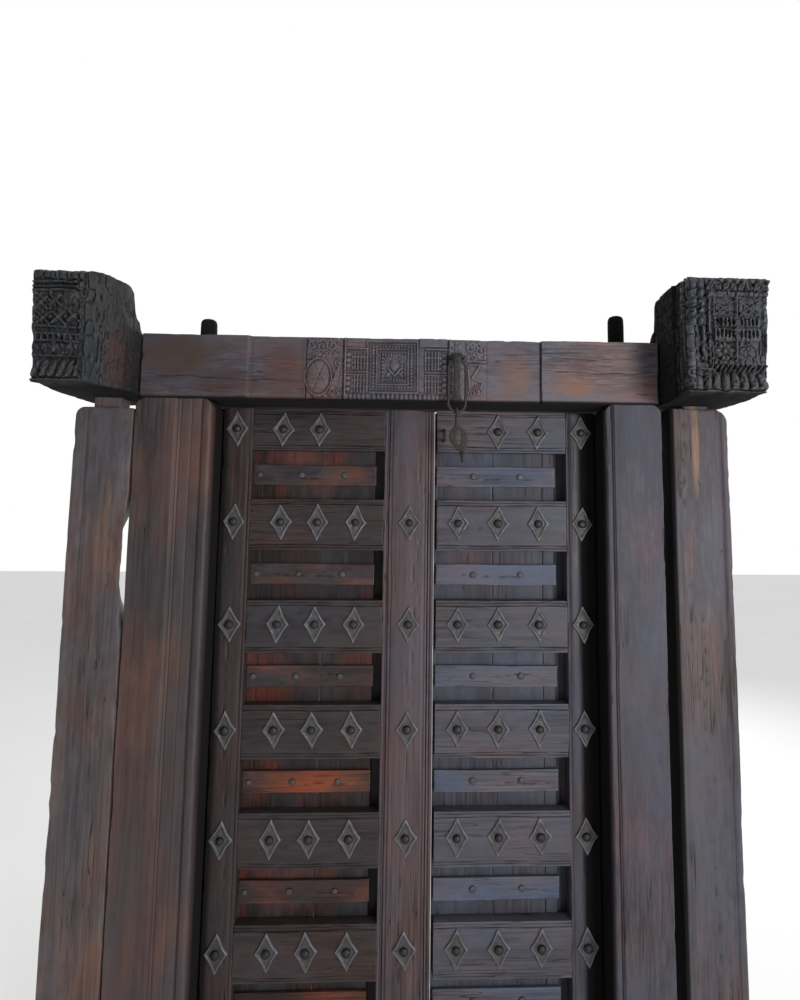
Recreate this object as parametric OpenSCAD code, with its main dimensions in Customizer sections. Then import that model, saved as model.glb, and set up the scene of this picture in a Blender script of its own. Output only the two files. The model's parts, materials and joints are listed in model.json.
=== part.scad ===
// Carved double temple door in its timber frame, hung on wooden pivots, with a chain on the lintel.
// Millimetres. +X is to the right seen from the front, +Y runs from front to back, +Z is up.
// The origin is on the threshold's underside, midway between the jambs. The leaves open towards +Y.

/* [Frame] */
// Clear width between the inner jambs
opening_w = 1110; // [1090:1:1130]
// Depth of the threshold, front to back
frame_d = 220; // [216:1:240]
// Height of the threshold at its front lip
threshold_h = 150; // [140:1:170]
// Step down from the lip to the tread that the leaves pass over
threshold_step = 24; // [18:1:30]
// Height of the lintel
lintel_h = 183; // [160:1:200]
// Depth of the inner jambs, front to back
jamb_d = 110; // [90:1:112]
// Depth of the outer jambs, front to back
outer_d = 90; // [70:1:100]
// Width of the left inner jamb
inner_left_w = 210; // [180:1:230]
// Width of the right inner jamb
inner_right_w = 161; // [150:1:230]
// Width of the left outer jamb
outer_left_w = 156; // [130:1:170]
// Width of the right outer jamb
outer_right_w = 168; // [130:1:180]
// Gap between the two left jambs
gap_left = 5; // [2:1:10]
// Gap between the two right jambs
gap_right = 24; // [10:1:30]

/* [Corbels] */
// How far the corbels stand in front of the lintel
corbel_reach = 200; // [150:1:240]
// Height of the left corbel above the lintel's top
rise_left = 118; // [90:1:140]
// Height of the right corbel above the lintel's top
rise_right = 138; // [90:1:140]
// Width of the left corbel
corbel_left_w = 205; // [170:1:220]
// Width of the right corbel
corbel_right_w = 228; // [180:1:240]

/* [Leaves] */
// Number of rails on each leaf
rail_count = 7; // [4:1:8]
// Height of a rail
rail_h = 147; // [130:1:160]
// Spacing of the rails
rail_pitch = 290; // [260:1:320]
// Height of the topmost rail
top_rail_h = 123; // [110:1:147]
// Thickness of a rail in front of the boards
rail_t = 40; // [30:1:44]
// Thickness of the vertical boards behind the rails
board_t = 22; // [15:1:30]
// Visible width of a hinge stile
stile_w = 86; // [80:1:110]
// Width of the meeting stile, carried by the left leaf
meeting_w = 146.6; // [120:0.1:150]
// Height of the flat batten in each recess
batten_h = 60; // [40:1:80]
// Thickness of a batten
batten_t = 12; // [8:1:16]

/* [Pivots] */
// Radius of the wooden pivot pins at the top
pivot_r = 26; // [20:1:28]
// Radius of the rounded heel that turns behind the jamb
heel_r = 33; // [30:1:36]
// Distance from the left leaf's edge out to its pivot
pivot_out_left = 72; // [68:1:90]
// Distance from the right leaf's edge out to its pivot
pivot_out_right = 90; // [68:1:92]
// How far the left pin stands above the lintel
pin_rise_left = 86; // [40:1:130]
// How far the right pin stands above the lintel
pin_rise_right = 122; // [40:1:130]

/* [Bosses] */
// Width of an iron lozenge plate
plate_w = 66; // [50:1:70]
// Height of an iron lozenge plate
plate_h = 108; // [80:1:110]
// Thickness of an iron lozenge plate
plate_t = 6; // [3:1:8]
// Radius of the domed nail through each plate
dome_r = 13; // [10:1:16]

/* [Chain] */
// Radius of the iron bar of the lintel staple
staple_bar_r = 5; // [4:0.5:6]
// Distance from the lintel's face to the staple's cross bar
staple_out = 30; // [24:1:45]
// Radius of the bar of the long loop
loop_bar_r = 4; // [3:0.5:4.5]
// Overall height of the long loop
loop_h = 156; // [120:1:200]
// Width of the folded strap link
strap_w = 25; // [15:1:28]
// Overall height of the folded strap link
strap_h = 140; // [90:1:145]

/* [Hidden] */
$fn = 48;
eps = 1;

// Frame lines
opening_l = -opening_w / 2;
opening_r = opening_w / 2;
left_end = opening_l - inner_left_w - gap_left - outer_left_w;
right_end = opening_r + inner_right_w + gap_right + outer_right_w;
frame_back = frame_d / 2;
sill_front = -frame_d / 2;
face_y = sill_front + 10;           // front faces of the jambs and the lintel
jamb_back = face_y + jamb_d;
tread_z = threshold_h - threshold_step;
lip_back = -8;

// Leaf lines. The front of the leaves is the plane Y = 0.
leaf_gap = 5;                       // between a leaf and the inner jamb
leaf_l = opening_l + leaf_gap;
leaf_r = opening_r - leaf_gap;
leaf_z0 = tread_z + 14;
leaf_z1 = leaf_z0 + (rail_count - 1) * rail_pitch + top_rail_h;
recess_h = rail_pitch - rail_h;
boards_y = rail_t;
boards_back = rail_t + board_t;
stile_back = 80;
stile_inner_l = leaf_l + stile_w;
stile_inner_r = leaf_r - stile_w;
meeting_r = 71.4;
meeting_l = meeting_r - meeting_w;
rail_start_r = meeting_r + 7.6;     // the right leaf's rails stop short of the meeting stile
board_start_r = meeting_r + 2.6;
tenon_l = 32;
tenon_y = 14;
tenon_t = 12;
tenon_h = 84;
fit = 0.4;                          // slack round a tenon in its mortise

// Lintel lines
lintel_z = leaf_z1 + 11;
lintel_top = lintel_z + lintel_h;
face_cut = 11;                      // how far the plain lengths of the lintel's face are cut back
face_cuts = [[-457, -301], [215, 373]];
carving_x = [-301, -192, 106, 215]; // edges of the three carved fields

// Pivots
pivot_y = 50;
pivot_l = leaf_l - pivot_out_left;
pivot_rr = leaf_r + pivot_out_right;
neck_front = 20;
foot_r = 21;
shoe_t = 2;
shoe_gap = 1;
cup_r = 36;
cup_h = 34;
cup_floor = 6;
foot_z = tread_z - cup_h + cup_floor;
bore_slack = 2;

// Joinery between the frame's timbers
cup_room = 10;                      // free room round each pivot cup
tenon_deep = 36;
jamb_tenon = 44;
jamb_tenon_y = face_y + 30;
inner_tenons = [opening_l - inner_left_w / 2, opening_r + inner_right_w / 2];
outer_tenons = [left_end + outer_left_w / 2, right_end - outer_right_w / 2];
lip_chamfer = 8;
lintel_l = -755;
lintel_r = 712;
horn_l = 60;
horn_y = -40;
horn_d = 90;
horn_z = lintel_z + 50;
horn_h = 90;
outer_top_left = lintel_z - 28;
outer_top_right = lintel_z - 8;
neck_w = 72;
neck_in = 14;
neck_top = lintel_z + 26;
shoulder = 20;

// Moulded edges
mould_step = 14;                    // width of the bead beside the doorway
mould_drop = 9;
mould_grooves = [26, 42, 56];
mould_groove_w = 5;
mould_groove_d = 6;
outer_lines = [18, 32];
outer_line_w = 5;
outer_line_d = 5;
rail_bevel = 5;
rail_line = 16;
line_w = 4;
line_sink = 3;
meeting_lines = [meeting_l + 12, meeting_l + 22, meeting_r - 16, meeting_r - 26];

// Carving on the lintel
lintel_mid = lintel_z + lintel_h / 2;
square_count = 3;
square_margin = 26;
square_step = 18;
square_aspect = 0.78;
square_sink = 2;
square_line = 7;
rosette = 16;
petal_r = 13;
curl_rows = [38, 92, 146];          // heights of the scrolls above the lintel's underside
curl_r = 24;
curl_rib = 9;
curl_sink = 6;
side_margin = 20;

// Corbel lines
corbel_front = face_y - corbel_reach;
corbel_tail = 60;
head_left = 150;                    // depth of the arched head, from the front
head_right = 235;
splay_w = 52;
splay_len = 150;
foot_taper = 18;                     // how much narrower a corbel's foot is than its head
plinth_h = 26;
petal_h = 58;
petal_count = 8;
petal_gap_r = 7;
petal_out = 2;                      // the hollows' axes stand this far in front of the face
crest_h = 60;
band_h = 24;
band_sink = 6;
cross_z = 184;
cross_len = 54;
slot_count = 7;
slot_start = 12;
slot_z = 108;
slot_h = 34;
slot_gap = 8;
slot_sink = 9;
slot_w = 5;
slot_pitch = 10.5;
side_grooves = [40, 62, 84];
side_groove_w = 7;
side_sink = 5;
corbel_side_h = 130;

// Pivot ends
shoe_h = 24;
pin_round = 14;                     // length of the tapered end of each upper pin
pin_taper = 9;

// Boss rows
boss_up = 7;                        // below the top rail the plates sit above the rail's middle
boss_x_left = [-374, -268, -157];
boss_x_right = [143, 260.5, 379];
boss_edge = 41;                     // from the leaf's edge to the hinge stile's plates
boss_x_meeting = 0;
shank_r = 4;
stile_shank = 36;
rail_shank = boards_back + 4;       // the nails pass through rail and board
hole_slack = 0.3;
dome_rise = 9;                      // how far a nail's dome stands above its plate
batten_nail_r = 2.5;
batten_head_r = 10;
batten_head_h = 4;
batten_shank = 30;
board_joints_left = [-437, -255];
board_joints_right = [249, 400];
board_gap = 2;
board_groove = 12;                  // how far the boards enter a hinge stile
batten_nails_left = [-445, -322, -195];
batten_nails_right = [190, 330];

// Chain
chain_x = 128;
staple_half = 19;                   // from the staple's middle to each leg
staple_leg = 50;                    // length of a leg inside the lintel
staple_z = lintel_top - 57;
bar_y = face_y - staple_out;
strap_t = 4;
strap_in_r = staple_bar_r + 1.5;
strap_bend_z = staple_z - 1;
strap_out_r = strap_in_r + strap_t;
rivet_r = 3;
loop_half = 24;                     // bend radius of the long loop's centreline
loop_top_z = staple_z - staple_bar_r - loop_bar_r - 1.5;
loop_low_z = loop_top_z - loop_h + 2 * loop_bar_r;
rivet_z = loop_top_z - loop_bar_r - rivet_r - 0.5;
eye_r = 10.5;
eye_bar_r = 3.5;
eye_z = loop_low_z + loop_bar_r - (eye_r - eye_bar_r) + 0.5;
hasp_t = 8;
hasp_lean = 14;
hasp_top = eye_z - eye_r;
hasp_h = 108;
hasp_half = 26;
hasp_neck = 6;
ring_bar_r = 3.5;
ring_r = 13;

// Door staple on the right leaf's top rail
door_staple_x = 98;
door_staple_z = rail_mid(1) - 14;
door_staple_half = 14;
door_staple_out = 38;
door_staple_leg = 34;

function rail_z(k) = leaf_z0 + (rail_count - k) * rail_pitch;
function rail_height(k) = k == 1 ? top_rail_h : rail_h;
function rail_mid(k) = rail_z(k) + rail_height(k) / 2;
function boss_z(k) = rail_mid(k) + (k == 1 ? 0 : boss_up);
function batten_z(k) = rail_z(k) - recess_h / 2;

TIMBER = [0.17, 0.11, 0.08];
TIMBER_RED = [0.24, 0.13, 0.09];
TIMBER_GREY = [0.2, 0.19, 0.2];
IRON = [0.12, 0.11, 0.11];

// ---- shapes that repeat ----

// A box between two corners
module block(low, high) {
    translate(low)
        cube([high[0] - low[0], high[1] - low[1], high[2] - low[2]]);
}

// A round bar along Y
module bar_y_axis(x, y, z, len, r) {
    translate([x, y, z])
        rotate([-90, 0, 0])
            cylinder(r = r, h = len);
}

// Holes for the boss nails of one column, from the front face back
module boss_holes(x, rows, depth) {
    for (k = rows)
        bar_y_axis(x, -eps, boss_z(k), depth + eps, shank_r + hole_slack);
}

// Mortises for every rail's tenon, cut from a stile's edge at x towards x + side * depth
module rail_mortises(x, side) {
    reach = tenon_l + 2;
    low = side > 0 ? x - eps : x - reach;
    for (k = [1:rail_count])
        translate([low, tenon_y - fit, rail_mid(k) - tenon_h / 2 - fit])
            cube([reach + eps, tenon_t + 2 * fit, tenon_h + 2 * fit]);
}

// ---- frame ----

module threshold() {
    color(TIMBER)
        difference() {
            block([left_end, sill_front, 0], [right_end, frame_back, threshold_h]);
            block([opening_l, lip_back, tread_z], [opening_r, frame_back + eps, threshold_h + eps]);
            block([pivot_l - cup_r - cup_room, jamb_back, tread_z],
                  [pivot_rr + cup_r + cup_room, frame_back + eps, threshold_h + eps]);
            for (x = [pivot_l, pivot_rr])
                translate([x, pivot_y, tread_z - cup_h])
                    cylinder(r = cup_r + fit, h = cup_h + eps);
            for (x = inner_tenons)
                jamb_mortise(x, threshold_h - tenon_deep - fit, threshold_h + eps);
            for (x = outer_tenons)
                jamb_mortise(x, threshold_h - tenon_deep - fit, threshold_h + eps);
            // worn chamfer along the lip's front
            translate([left_end - eps, sill_front, threshold_h])
                rotate([45, 0, 0])
                    cube([right_end - left_end + 2 * eps, lip_chamfer, lip_chamfer], center = false);
        }
}

// Square mortise for a jamb's tenon between two heights
module jamb_mortise(x, z0, z1) {
    block([x - jamb_tenon / 2 - fit, jamb_tenon_y - fit, z0],
          [x + jamb_tenon / 2 + fit, jamb_tenon_y + jamb_tenon + fit, z1]);
}

module jamb_tenon_block(x, z0, z1) {
    block([x - jamb_tenon / 2, jamb_tenon_y, z0],
          [x + jamb_tenon / 2, jamb_tenon_y + jamb_tenon, z1]);
}

// Outline of an inner jamb in plan, its moulded edge at x = 0 and its body towards +X
module inner_jamb_plan(w) {
    difference() {
        translate([0, face_y])
            square([w, jamb_d]);
        // fillets and hollows beside the doorway
        translate([-eps, face_y - eps])
            square([mould_step + eps, mould_drop + eps]);
        for (x = mould_grooves)
            translate([x, face_y - eps])
                square([mould_groove_w, mould_groove_d + eps]);
    }
    // bead on the arris
    translate([mould_step / 2, face_y + mould_drop])
        circle(r = mould_step / 2);
}

module inner_jamb(edge, side, w) {
    linear_z(threshold_h, lintel_z)
        translate([edge, 0])
            mirror([side > 0 ? 0 : 1, 0])
                inner_jamb_plan(w);
    for (z = [[threshold_h - tenon_deep, threshold_h + eps], [lintel_z - eps, lintel_z + tenon_deep]])
        jamb_tenon_block(edge + side * w / 2, z[0], z[1]);
}

// Extrude a plan outline between two heights
module linear_z(z0, z1) {
    translate([0, 0, z0])
        linear_extrude(z1 - z0)
            children();
}

module inner_jamb_left() {
    color(TIMBER)
        inner_jamb(opening_l, -1, inner_left_w);
}

module inner_jamb_right() {
    color(TIMBER)
        inner_jamb(opening_r, 1, inner_right_w);
}

// An outer jamb with a narrow neck that enters the corbel above it
module outer_jamb(x0, x1, top, side) {
    mid = (x0 + x1) / 2;
    outer = side > 0 ? x1 : x0;
    difference() {
        block([x0, face_y, threshold_h], [x1, face_y + outer_d, top]);
        // sunk lines beside the outer arris
        for (d = outer_lines)
            translate([outer - side * d - outer_line_w / 2, face_y - eps, threshold_h - eps])
                cube([outer_line_w, outer_line_d + eps, top - threshold_h + 2 * eps]);
        // rounded shoulder at the top
        translate([outer, face_y - eps, top])
            rotate([0, side > 0 ? 45 : -45, 0])
                translate([-shoulder / 2, 0, -shoulder / 2])
                    cube([shoulder, outer_d + 2 * eps, shoulder]);
    }
    block([mid - neck_w / 2, face_y + neck_in, top - eps],
          [mid + neck_w / 2, face_y + outer_d - neck_in, neck_top]);
    jamb_tenon_block(mid, threshold_h - tenon_deep, threshold_h + eps);
}

module outer_jamb_left() {
    color(TIMBER)
        outer_jamb(left_end, left_end + outer_left_w, outer_top_left, -1);
}

module outer_jamb_right() {
    color(TIMBER)
        outer_jamb(right_end - outer_right_w, right_end, outer_top_right, 1);
}

// Nested square frames round a sunk rosette, in one field of the lintel's face
module carved_square(x0, x1) {
    mid = (x0 + x1) / 2;
    half = (x1 - x0) / 2;
    for (i = [0:square_count - 1]) {
        wide = half - square_margin - i * square_step;
        high = wide * square_aspect;
        difference() {
            field_cut(mid - wide, mid + wide, lintel_mid - high, lintel_mid + high,
                      square_sink * (i + 2));
            field_cut(mid - wide + square_line, mid + wide - square_line,
                      lintel_mid - high + square_line, lintel_mid + high - square_line,
                      jamb_d);
        }
    }
    for (a = [0:90:270])
        translate([mid + rosette * cos(a + 45), face_y + 14, lintel_mid + rosette * sin(a + 45)])
            sphere(r = petal_r);
}

// A shallow rectangular sinking in the lintel's face
module field_cut(x0, x1, z0, z1, depth) {
    block([x0, face_y - eps, z0], [x1, face_y + depth, z1]);
}

// Sunk half rounds that leave scrolling ribs between them
module carved_side(x0, x1) {
    mid = (x0 + x1) / 2;
    half = (x1 - x0) / 2 - side_margin;
    for (rise = curl_rows) {
        translate([mid, face_y - eps, lintel_z + rise])
            rotate([-90, 0, 0])
                difference() {
                    cylinder(r = curl_r, h = curl_sink + eps);
                    cylinder(r = curl_r - curl_rib, h = curl_sink + 2 * eps);
                }
        for (s = [-1, 1])
            bar_y_axis(mid + s * half, face_y - eps, lintel_z + rise, curl_sink + eps, curl_sink);
    }
}

module lintel() {
    color(TIMBER_RED)
        difference() {
            union() {
                block([lintel_l, face_y, lintel_z], [lintel_r, frame_back, lintel_top]);
                block([lintel_l - horn_l, horn_y, horn_z],
                      [lintel_r + horn_l, horn_y + horn_d, horn_z + horn_h]);
            }
            // plain lengths cut back beside the carving
            for (c = face_cuts)
                block([c[0], face_y - eps, lintel_z - eps], [c[1], face_y + face_cut, lintel_top + eps]);
            carved_side(carving_x[0], carving_x[1]);
            carved_square(carving_x[1], carving_x[2]);
            carved_side(carving_x[2], carving_x[3]);
            // bores for the upper pivots
            for (x = [pivot_l, pivot_rr])
                translate([x, pivot_y, lintel_z - eps])
                    cylinder(r = pivot_r + bore_slack, h = lintel_h + 2 * eps);
            for (x = inner_tenons)
                jamb_mortise(x, lintel_z - eps, lintel_z + tenon_deep + fit);
            for (s = [-1, 1])
                bar_y_axis(chain_x + s * staple_half, face_y - eps, staple_z, staple_leg + eps,
                           staple_bar_r + hole_slack);
        }
}

// ---- corbels ----

// Side outline of a corbel whose head is so deep, front to back and bottom to top
module corbel_outline(top, head) {
    rear = corbel_front + head;
    polygon([[corbel_front, lintel_z], [corbel_front, top - 20], [corbel_front + 8, top - 10],
             [corbel_front + 24, top - 6], [corbel_front + head * 0.3, top - 2],
             [corbel_front + head * 0.6, top], [corbel_front + head * 0.85, top - 5],
             [rear, top - 13], [rear, lintel_top + 49], [rear + 20, lintel_top + 36],
             [rear + 45, lintel_top + 24], [rear + 45, lintel_top],
             [corbel_tail, lintel_top], [corbel_tail, lintel_z]]);
}

// Carved relief of a corbel's front, as cuts
module corbel_cuts(x0, x1, top) {
    w = x1 - x0;
    mid = (x0 + x1) / 2;
    slots = min(slot_count, floor((w / 2 - slot_start - 1.5 * slot_w) / slot_pitch) + 1);
    // bands across the front
    for (z = [top - crest_h, top - crest_h - band_h, lintel_z + slot_z + slot_h + slot_gap,
              lintel_z + slot_z - slot_gap])
        translate([x0 - eps, corbel_front - eps, z])
            cube([w + splay_w, band_sink + eps, band_sink]);
    // slots either side of the middle rib
    for (i = [0:slots - 1])
        for (s = [-1, 1])
            translate([mid + s * (slot_start + i * slot_pitch) - slot_w / 2, corbel_front - eps,
                       lintel_z + slot_z])
                cube([slot_w, slot_sink + eps, slot_h]);
    // diagonal cross above the slots
    for (s = [-1, 1])
        for (c = [-1, 1])
            translate([mid + c * w / 4, corbel_front, lintel_z + cross_z])
                rotate([0, s * 45, 0])
                    cube([band_sink, 2 * band_sink, cross_len], center = true);
    // hollows between the petals
    for (i = [1:petal_count - 1])
        translate([x0 + i * w / petal_count, corbel_front - petal_out, lintel_z + plinth_h + 2])
            cylinder(r = petal_gap_r, h = petal_h);
    // step over the plain plinth
    translate([x0 - eps, corbel_front - eps, lintel_z + plinth_h - band_sink])
        cube([w + splay_w, band_sink + eps, band_sink]);
}

// Upright grooves on the right corbel's face that looks at the doorway
module corbel_side_cuts(x) {
    for (y = side_grooves)
        translate([x - eps, corbel_front + y, lintel_z + plinth_h])
            cube([side_sink + eps, side_groove_w, corbel_side_h]);
}

// Corbel from x0 to x1 whose carving ends at carved_to
module corbel(x0, x1, carved_to, top, inner, side, head) {
    difference() {
        translate([x0, 0, 0])
            rotate([90, 0, 90])
                linear_extrude(x1 - x0)
                    corbel_outline(top, head);
        corbel_cuts(x0, carved_to, top);
        // mortise for the lintel's horn
        block([side > 0 ? inner - eps : inner - horn_l - fit, horn_y - fit, horn_z - fit],
              [side > 0 ? inner + horn_l + fit : inner + eps, horn_y + horn_d + fit,
               horn_z + horn_h + fit]);
    }
}

// Mortise for an outer jamb's neck
module neck_mortise(mid) {
    block([mid - neck_w / 2 - fit, face_y + neck_in - fit, lintel_z - eps],
          [mid + neck_w / 2 + fit, face_y + outer_d - neck_in + fit, neck_top + fit]);
}

// Slanting cut that narrows the left corbel's front on the doorway side
module splay() {
    translate([lintel_l, corbel_front, lintel_z - eps])
        linear_extrude(rise_left + lintel_h + 2 * eps)
            polygon([[-splay_w, 0], [-splay_w, -splay_w], [splay_w, -splay_w],
                     [splay_w, splay_len], [0, splay_len]]);
}

// Slanting cut down the outer side of a corbel that is so high above its foot
module outer_taper(x, side, high) {
    translate([x, corbel_tail + eps, lintel_z])
        rotate([90, 0, 0])
            linear_extrude(corbel_tail - corbel_front + 2 * eps)
                polygon([[-side * foot_taper, -1], [-side * foot_taper, 0], [0, high],
                         [side, high], [side, -1]]);
}

module corbel_left() {
    color(TIMBER_GREY)
        difference() {
            corbel(lintel_l - corbel_left_w, lintel_l, lintel_l - splay_w,
                   lintel_top + rise_left, lintel_l, -1, head_left);
            splay();
            outer_taper(lintel_l - corbel_left_w, -1, lintel_h + rise_left);
            neck_mortise(left_end + outer_left_w / 2);
        }
}

module corbel_right() {
    color(TIMBER_GREY)
        difference() {
            corbel(lintel_r, lintel_r + corbel_right_w, lintel_r + corbel_right_w,
                   lintel_top + rise_right, lintel_r, 1, head_right);
            corbel_side_cuts(lintel_r);
            outer_taper(lintel_r + corbel_right_w, 1, lintel_h + rise_right);
            neck_mortise(right_end - outer_right_w / 2);
        }
}

// ---- pivots ----

module pivot_cup(x) {
    color(IRON)
        translate([x, pivot_y, tread_z - cup_h])
            difference() {
                cylinder(r = cup_r, h = cup_h);
                translate([0, 0, cup_floor])
                    cylinder(r = foot_r + shoe_t + shoe_gap, h = cup_h);
            }
}

module pivot_shoe(x) {
    color(IRON)
        translate([x, pivot_y, foot_z])
            difference() {
                cylinder(r = foot_r + shoe_t, h = shoe_h);
                translate([0, 0, shoe_t])
                    cylinder(r = foot_r, h = shoe_h);
            }
}

module pivot_cup_left() {
    pivot_cup(pivot_l);
}

module pivot_cup_right() {
    pivot_cup(pivot_rr);
}

module pivot_shoe_left() {
    pivot_shoe(pivot_l);
}

module pivot_shoe_right() {
    pivot_shoe(pivot_rr);
}

// ---- leaves ----

// A hinge stile: front board, neck, rounded heel, pin above and foot below, in one timber
module hinge_stile(edge, inner, px, side, pin_top) {
    difference() {
        union() {
            block([min(edge, inner), 0, leaf_z0], [max(edge, inner), stile_back, leaf_z1]);
            block([min(px, edge + side), neck_front, leaf_z0],
                  [max(px, edge + side), stile_back, leaf_z1]);
            translate([px, pivot_y, leaf_z0])
                cylinder(r = heel_r, h = leaf_z1 - leaf_z0);
            translate([px, pivot_y, foot_z + shoe_t])
                cylinder(r = foot_r, h = leaf_z0 - foot_z);
            translate([px, pivot_y, leaf_z1 - eps])
                cylinder(r = pivot_r, h = pin_top - pin_round - leaf_z1 + eps);
            translate([px, pivot_y, pin_top - pin_round])
                cylinder(r1 = pivot_r, r2 = pivot_r - pin_taper, h = pin_round);
        }
        rail_mortises(inner, -side);
        boss_holes(edge + side * boss_edge, [1:rail_count], stile_shank);
        // groove for the boards
        block([side > 0 ? inner - board_groove - fit : inner - eps, boards_y - fit, leaf_z0 - eps],
              [side > 0 ? inner + eps : inner + board_groove + fit, boards_back + fit,
               leaf_z1 + eps]);
    }
}

module hinge_stile_left() {
    color(TIMBER)
        hinge_stile(leaf_l, stile_inner_l, pivot_l, 1, lintel_top + pin_rise_left);
}

module hinge_stile_right() {
    color(TIMBER)
        hinge_stile(leaf_r, stile_inner_r, pivot_rr, -1, lintel_top + pin_rise_right);
}

module meeting_stile() {
    color(TIMBER_RED)
        difference() {
            block([meeting_l, 0, leaf_z0], [meeting_r, boards_back, leaf_z1]);
            rail_mortises(meeting_l, 1);
            boss_holes(boss_x_meeting, [2:rail_count], stile_shank);
            // sunk lines beside both edges
            for (x = meeting_lines)
                translate([x, -eps, leaf_z0 - eps])
                    cube([line_w, line_sink + eps, leaf_z1 - leaf_z0 + 2 * eps]);
        }
}

// Section of a rail, front to back and bottom to top
module rail_section(h) {
    difference() {
        polygon([[0, rail_bevel], [rail_bevel, 0], [rail_t, 0], [rail_t, h], [rail_bevel, h],
                 [0, h - rail_bevel]]);
        for (z = [rail_line, h - rail_line - line_w])
            translate([-eps, z])
                square([line_sink + eps, line_w]);
    }
}

// A rail between two edges, with a tenon at each end that is asked for
module rail(k, x0, x1, tenon_low, tenon_high, columns) {
    h = rail_height(k);
    low = x0 - (tenon_low ? tenon_l : 0);
    high = x1 + (tenon_high ? tenon_l : 0);
    difference() {
        union() {
            translate([x0, 0, rail_z(k)])
                rotate([90, 0, 90])
                    linear_extrude(x1 - x0)
                        rail_section(h);
            block([low, tenon_y, rail_mid(k) - tenon_h / 2],
                  [high, tenon_y + tenon_t, rail_mid(k) + tenon_h / 2]);
        }
        for (x = columns)
            boss_holes(x, [k], rail_shank);
        if (k == 1 && !tenon_low)
            door_staple_holes();
    }
}

module left_rail(k) {
    columns = k == 1 ? [boss_x_left[0], boss_x_left[1]] : boss_x_left;
    color(TIMBER)
        rail(k, stile_inner_l, meeting_l, true, true, columns);
}

module right_rail(k) {
    columns = k == 1 ? [boss_x_right[1], boss_x_right[2]] : boss_x_right;
    color(TIMBER)
        rail(k, rail_start_r, stile_inner_r, false, true, columns);
}

// A vertical board with holes for the nails that fall on it
module board(x0, x1, columns, top_columns, batten_columns) {
    color(TIMBER_RED)
        difference() {
            block([x0, boards_y, leaf_z0], [x1, boards_back, leaf_z1]);
            for (x = columns)
                if (x > x0 && x < x1)
                    boss_holes(x, [2:rail_count], rail_shank);
            for (x = top_columns)
                if (x > x0 && x < x1)
                    boss_holes(x, [1], rail_shank);
            for (x = batten_columns)
                if (x > x0 && x < x1)
                    batten_holes(x);
        }
}

module batten_holes(x) {
    for (k = [1:rail_count - 1])
        bar_y_axis(x, boards_y - batten_t - eps, batten_z(k), batten_shank + 2 * eps,
                   batten_nail_r + hole_slack);
}

module left_board(i) {
    x = [stile_inner_l - board_groove, board_joints_left[0], board_joints_left[1], meeting_l];
    board(x[i - 1] + (i > 1 ? board_gap / 2 : 0), x[i] - (i < 3 ? board_gap / 2 : 0),
          boss_x_left, [boss_x_left[0], boss_x_left[1]], batten_nails_left);
}

module right_board(i) {
    x = [board_start_r, board_joints_right[0], board_joints_right[1],
         stile_inner_r + board_groove];
    board(x[i - 1] + (i > 1 ? board_gap / 2 : 0), x[i] - (i < 3 ? board_gap / 2 : 0),
          boss_x_right, [boss_x_right[1], boss_x_right[2]], batten_nails_right);
}

module batten(k, x0, x1, nails) {
    color(TIMBER_RED)
        difference() {
            block([x0, boards_y - batten_t, batten_z(k) - batten_h / 2],
                  [x1, boards_y, batten_z(k) + batten_h / 2]);
            for (x = nails)
                batten_holes(x);
        }
}

module left_batten(k) {
    batten(k, stile_inner_l, meeting_l, batten_nails_left);
}

module right_batten(k) {
    batten(k, rail_start_r, stile_inner_r, batten_nails_right);
}

// ---- iron bosses and nails ----

// An iron lozenge with a hole for its nail
module boss_plate(x, k) {
    translate([x, 0, boss_z(k)])
        rotate([90, 0, 0])
            linear_extrude(plate_t)
                difference() {
                    polygon([[-plate_w / 2, 0], [-plate_w / 4, -plate_h / 4], [0, -plate_h / 2],
                             [plate_w / 4, -plate_h / 4], [plate_w / 2, 0],
                             [plate_w / 4, plate_h / 4], [0, plate_h / 2],
                             [-plate_w / 4, plate_h / 4]]);
                    circle(r = shank_r + hole_slack);
                }
}

// A nail whose dome bears on the plate
module boss_nail(x, k, depth) {
    ball = (dome_r * dome_r + dome_rise * dome_rise) / (2 * dome_rise);
    intersection() {
        translate([x, -plate_t - dome_rise + ball, boss_z(k)])
            sphere(r = ball);
        translate([x - dome_r, -plate_t - dome_rise - eps, boss_z(k) - dome_r])
            cube([2 * dome_r, dome_rise + eps, 2 * dome_r]);
    }
    bar_y_axis(x, -plate_t - eps, boss_z(k), depth + plate_t + eps, shank_r);
}

module left_boss_plates() {
    color(IRON)
        left_bosses() {
            boss_plate($x, $k);
        }
}

module left_boss_nails() {
    color(IRON)
        left_bosses() {
            boss_nail($x, $k, $depth);
        }
}

// Every boss place on the left leaf; the top row has lost two plates
module left_bosses() {
    for ($k = [1:rail_count]) {
        let ($x = leaf_l + boss_edge, $depth = stile_shank - eps)
            children();
        for ($x = $k == 1 ? [boss_x_left[0], boss_x_left[1]] : boss_x_left)
            let ($depth = rail_shank)
                children();
        if ($k > 1)
            let ($x = boss_x_meeting, $depth = stile_shank - eps)
                children();
    }
}

// Every boss place on the right leaf; the top row has lost one plate
module right_bosses() {
    for ($k = [1:rail_count]) {
        for ($x = $k == 1 ? [boss_x_right[1], boss_x_right[2]] : boss_x_right)
            let ($depth = rail_shank)
                children();
        let ($x = leaf_r - boss_edge, $depth = stile_shank - eps)
            children();
    }
}

module right_boss_plates() {
    color(IRON)
        right_bosses() {
            boss_plate($x, $k);
        }
}

module right_boss_nails() {
    color(IRON)
        right_bosses() {
            boss_nail($x, $k, $depth);
        }
}

// A small clout nail that holds a batten to the boards
module batten_nail(x, k) {
    front = boards_y - batten_t;
    bar_y_axis(x, front - batten_head_h, batten_z(k), batten_head_h, batten_head_r);
    bar_y_axis(x, front - eps, batten_z(k), batten_shank, batten_nail_r);
}

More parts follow.
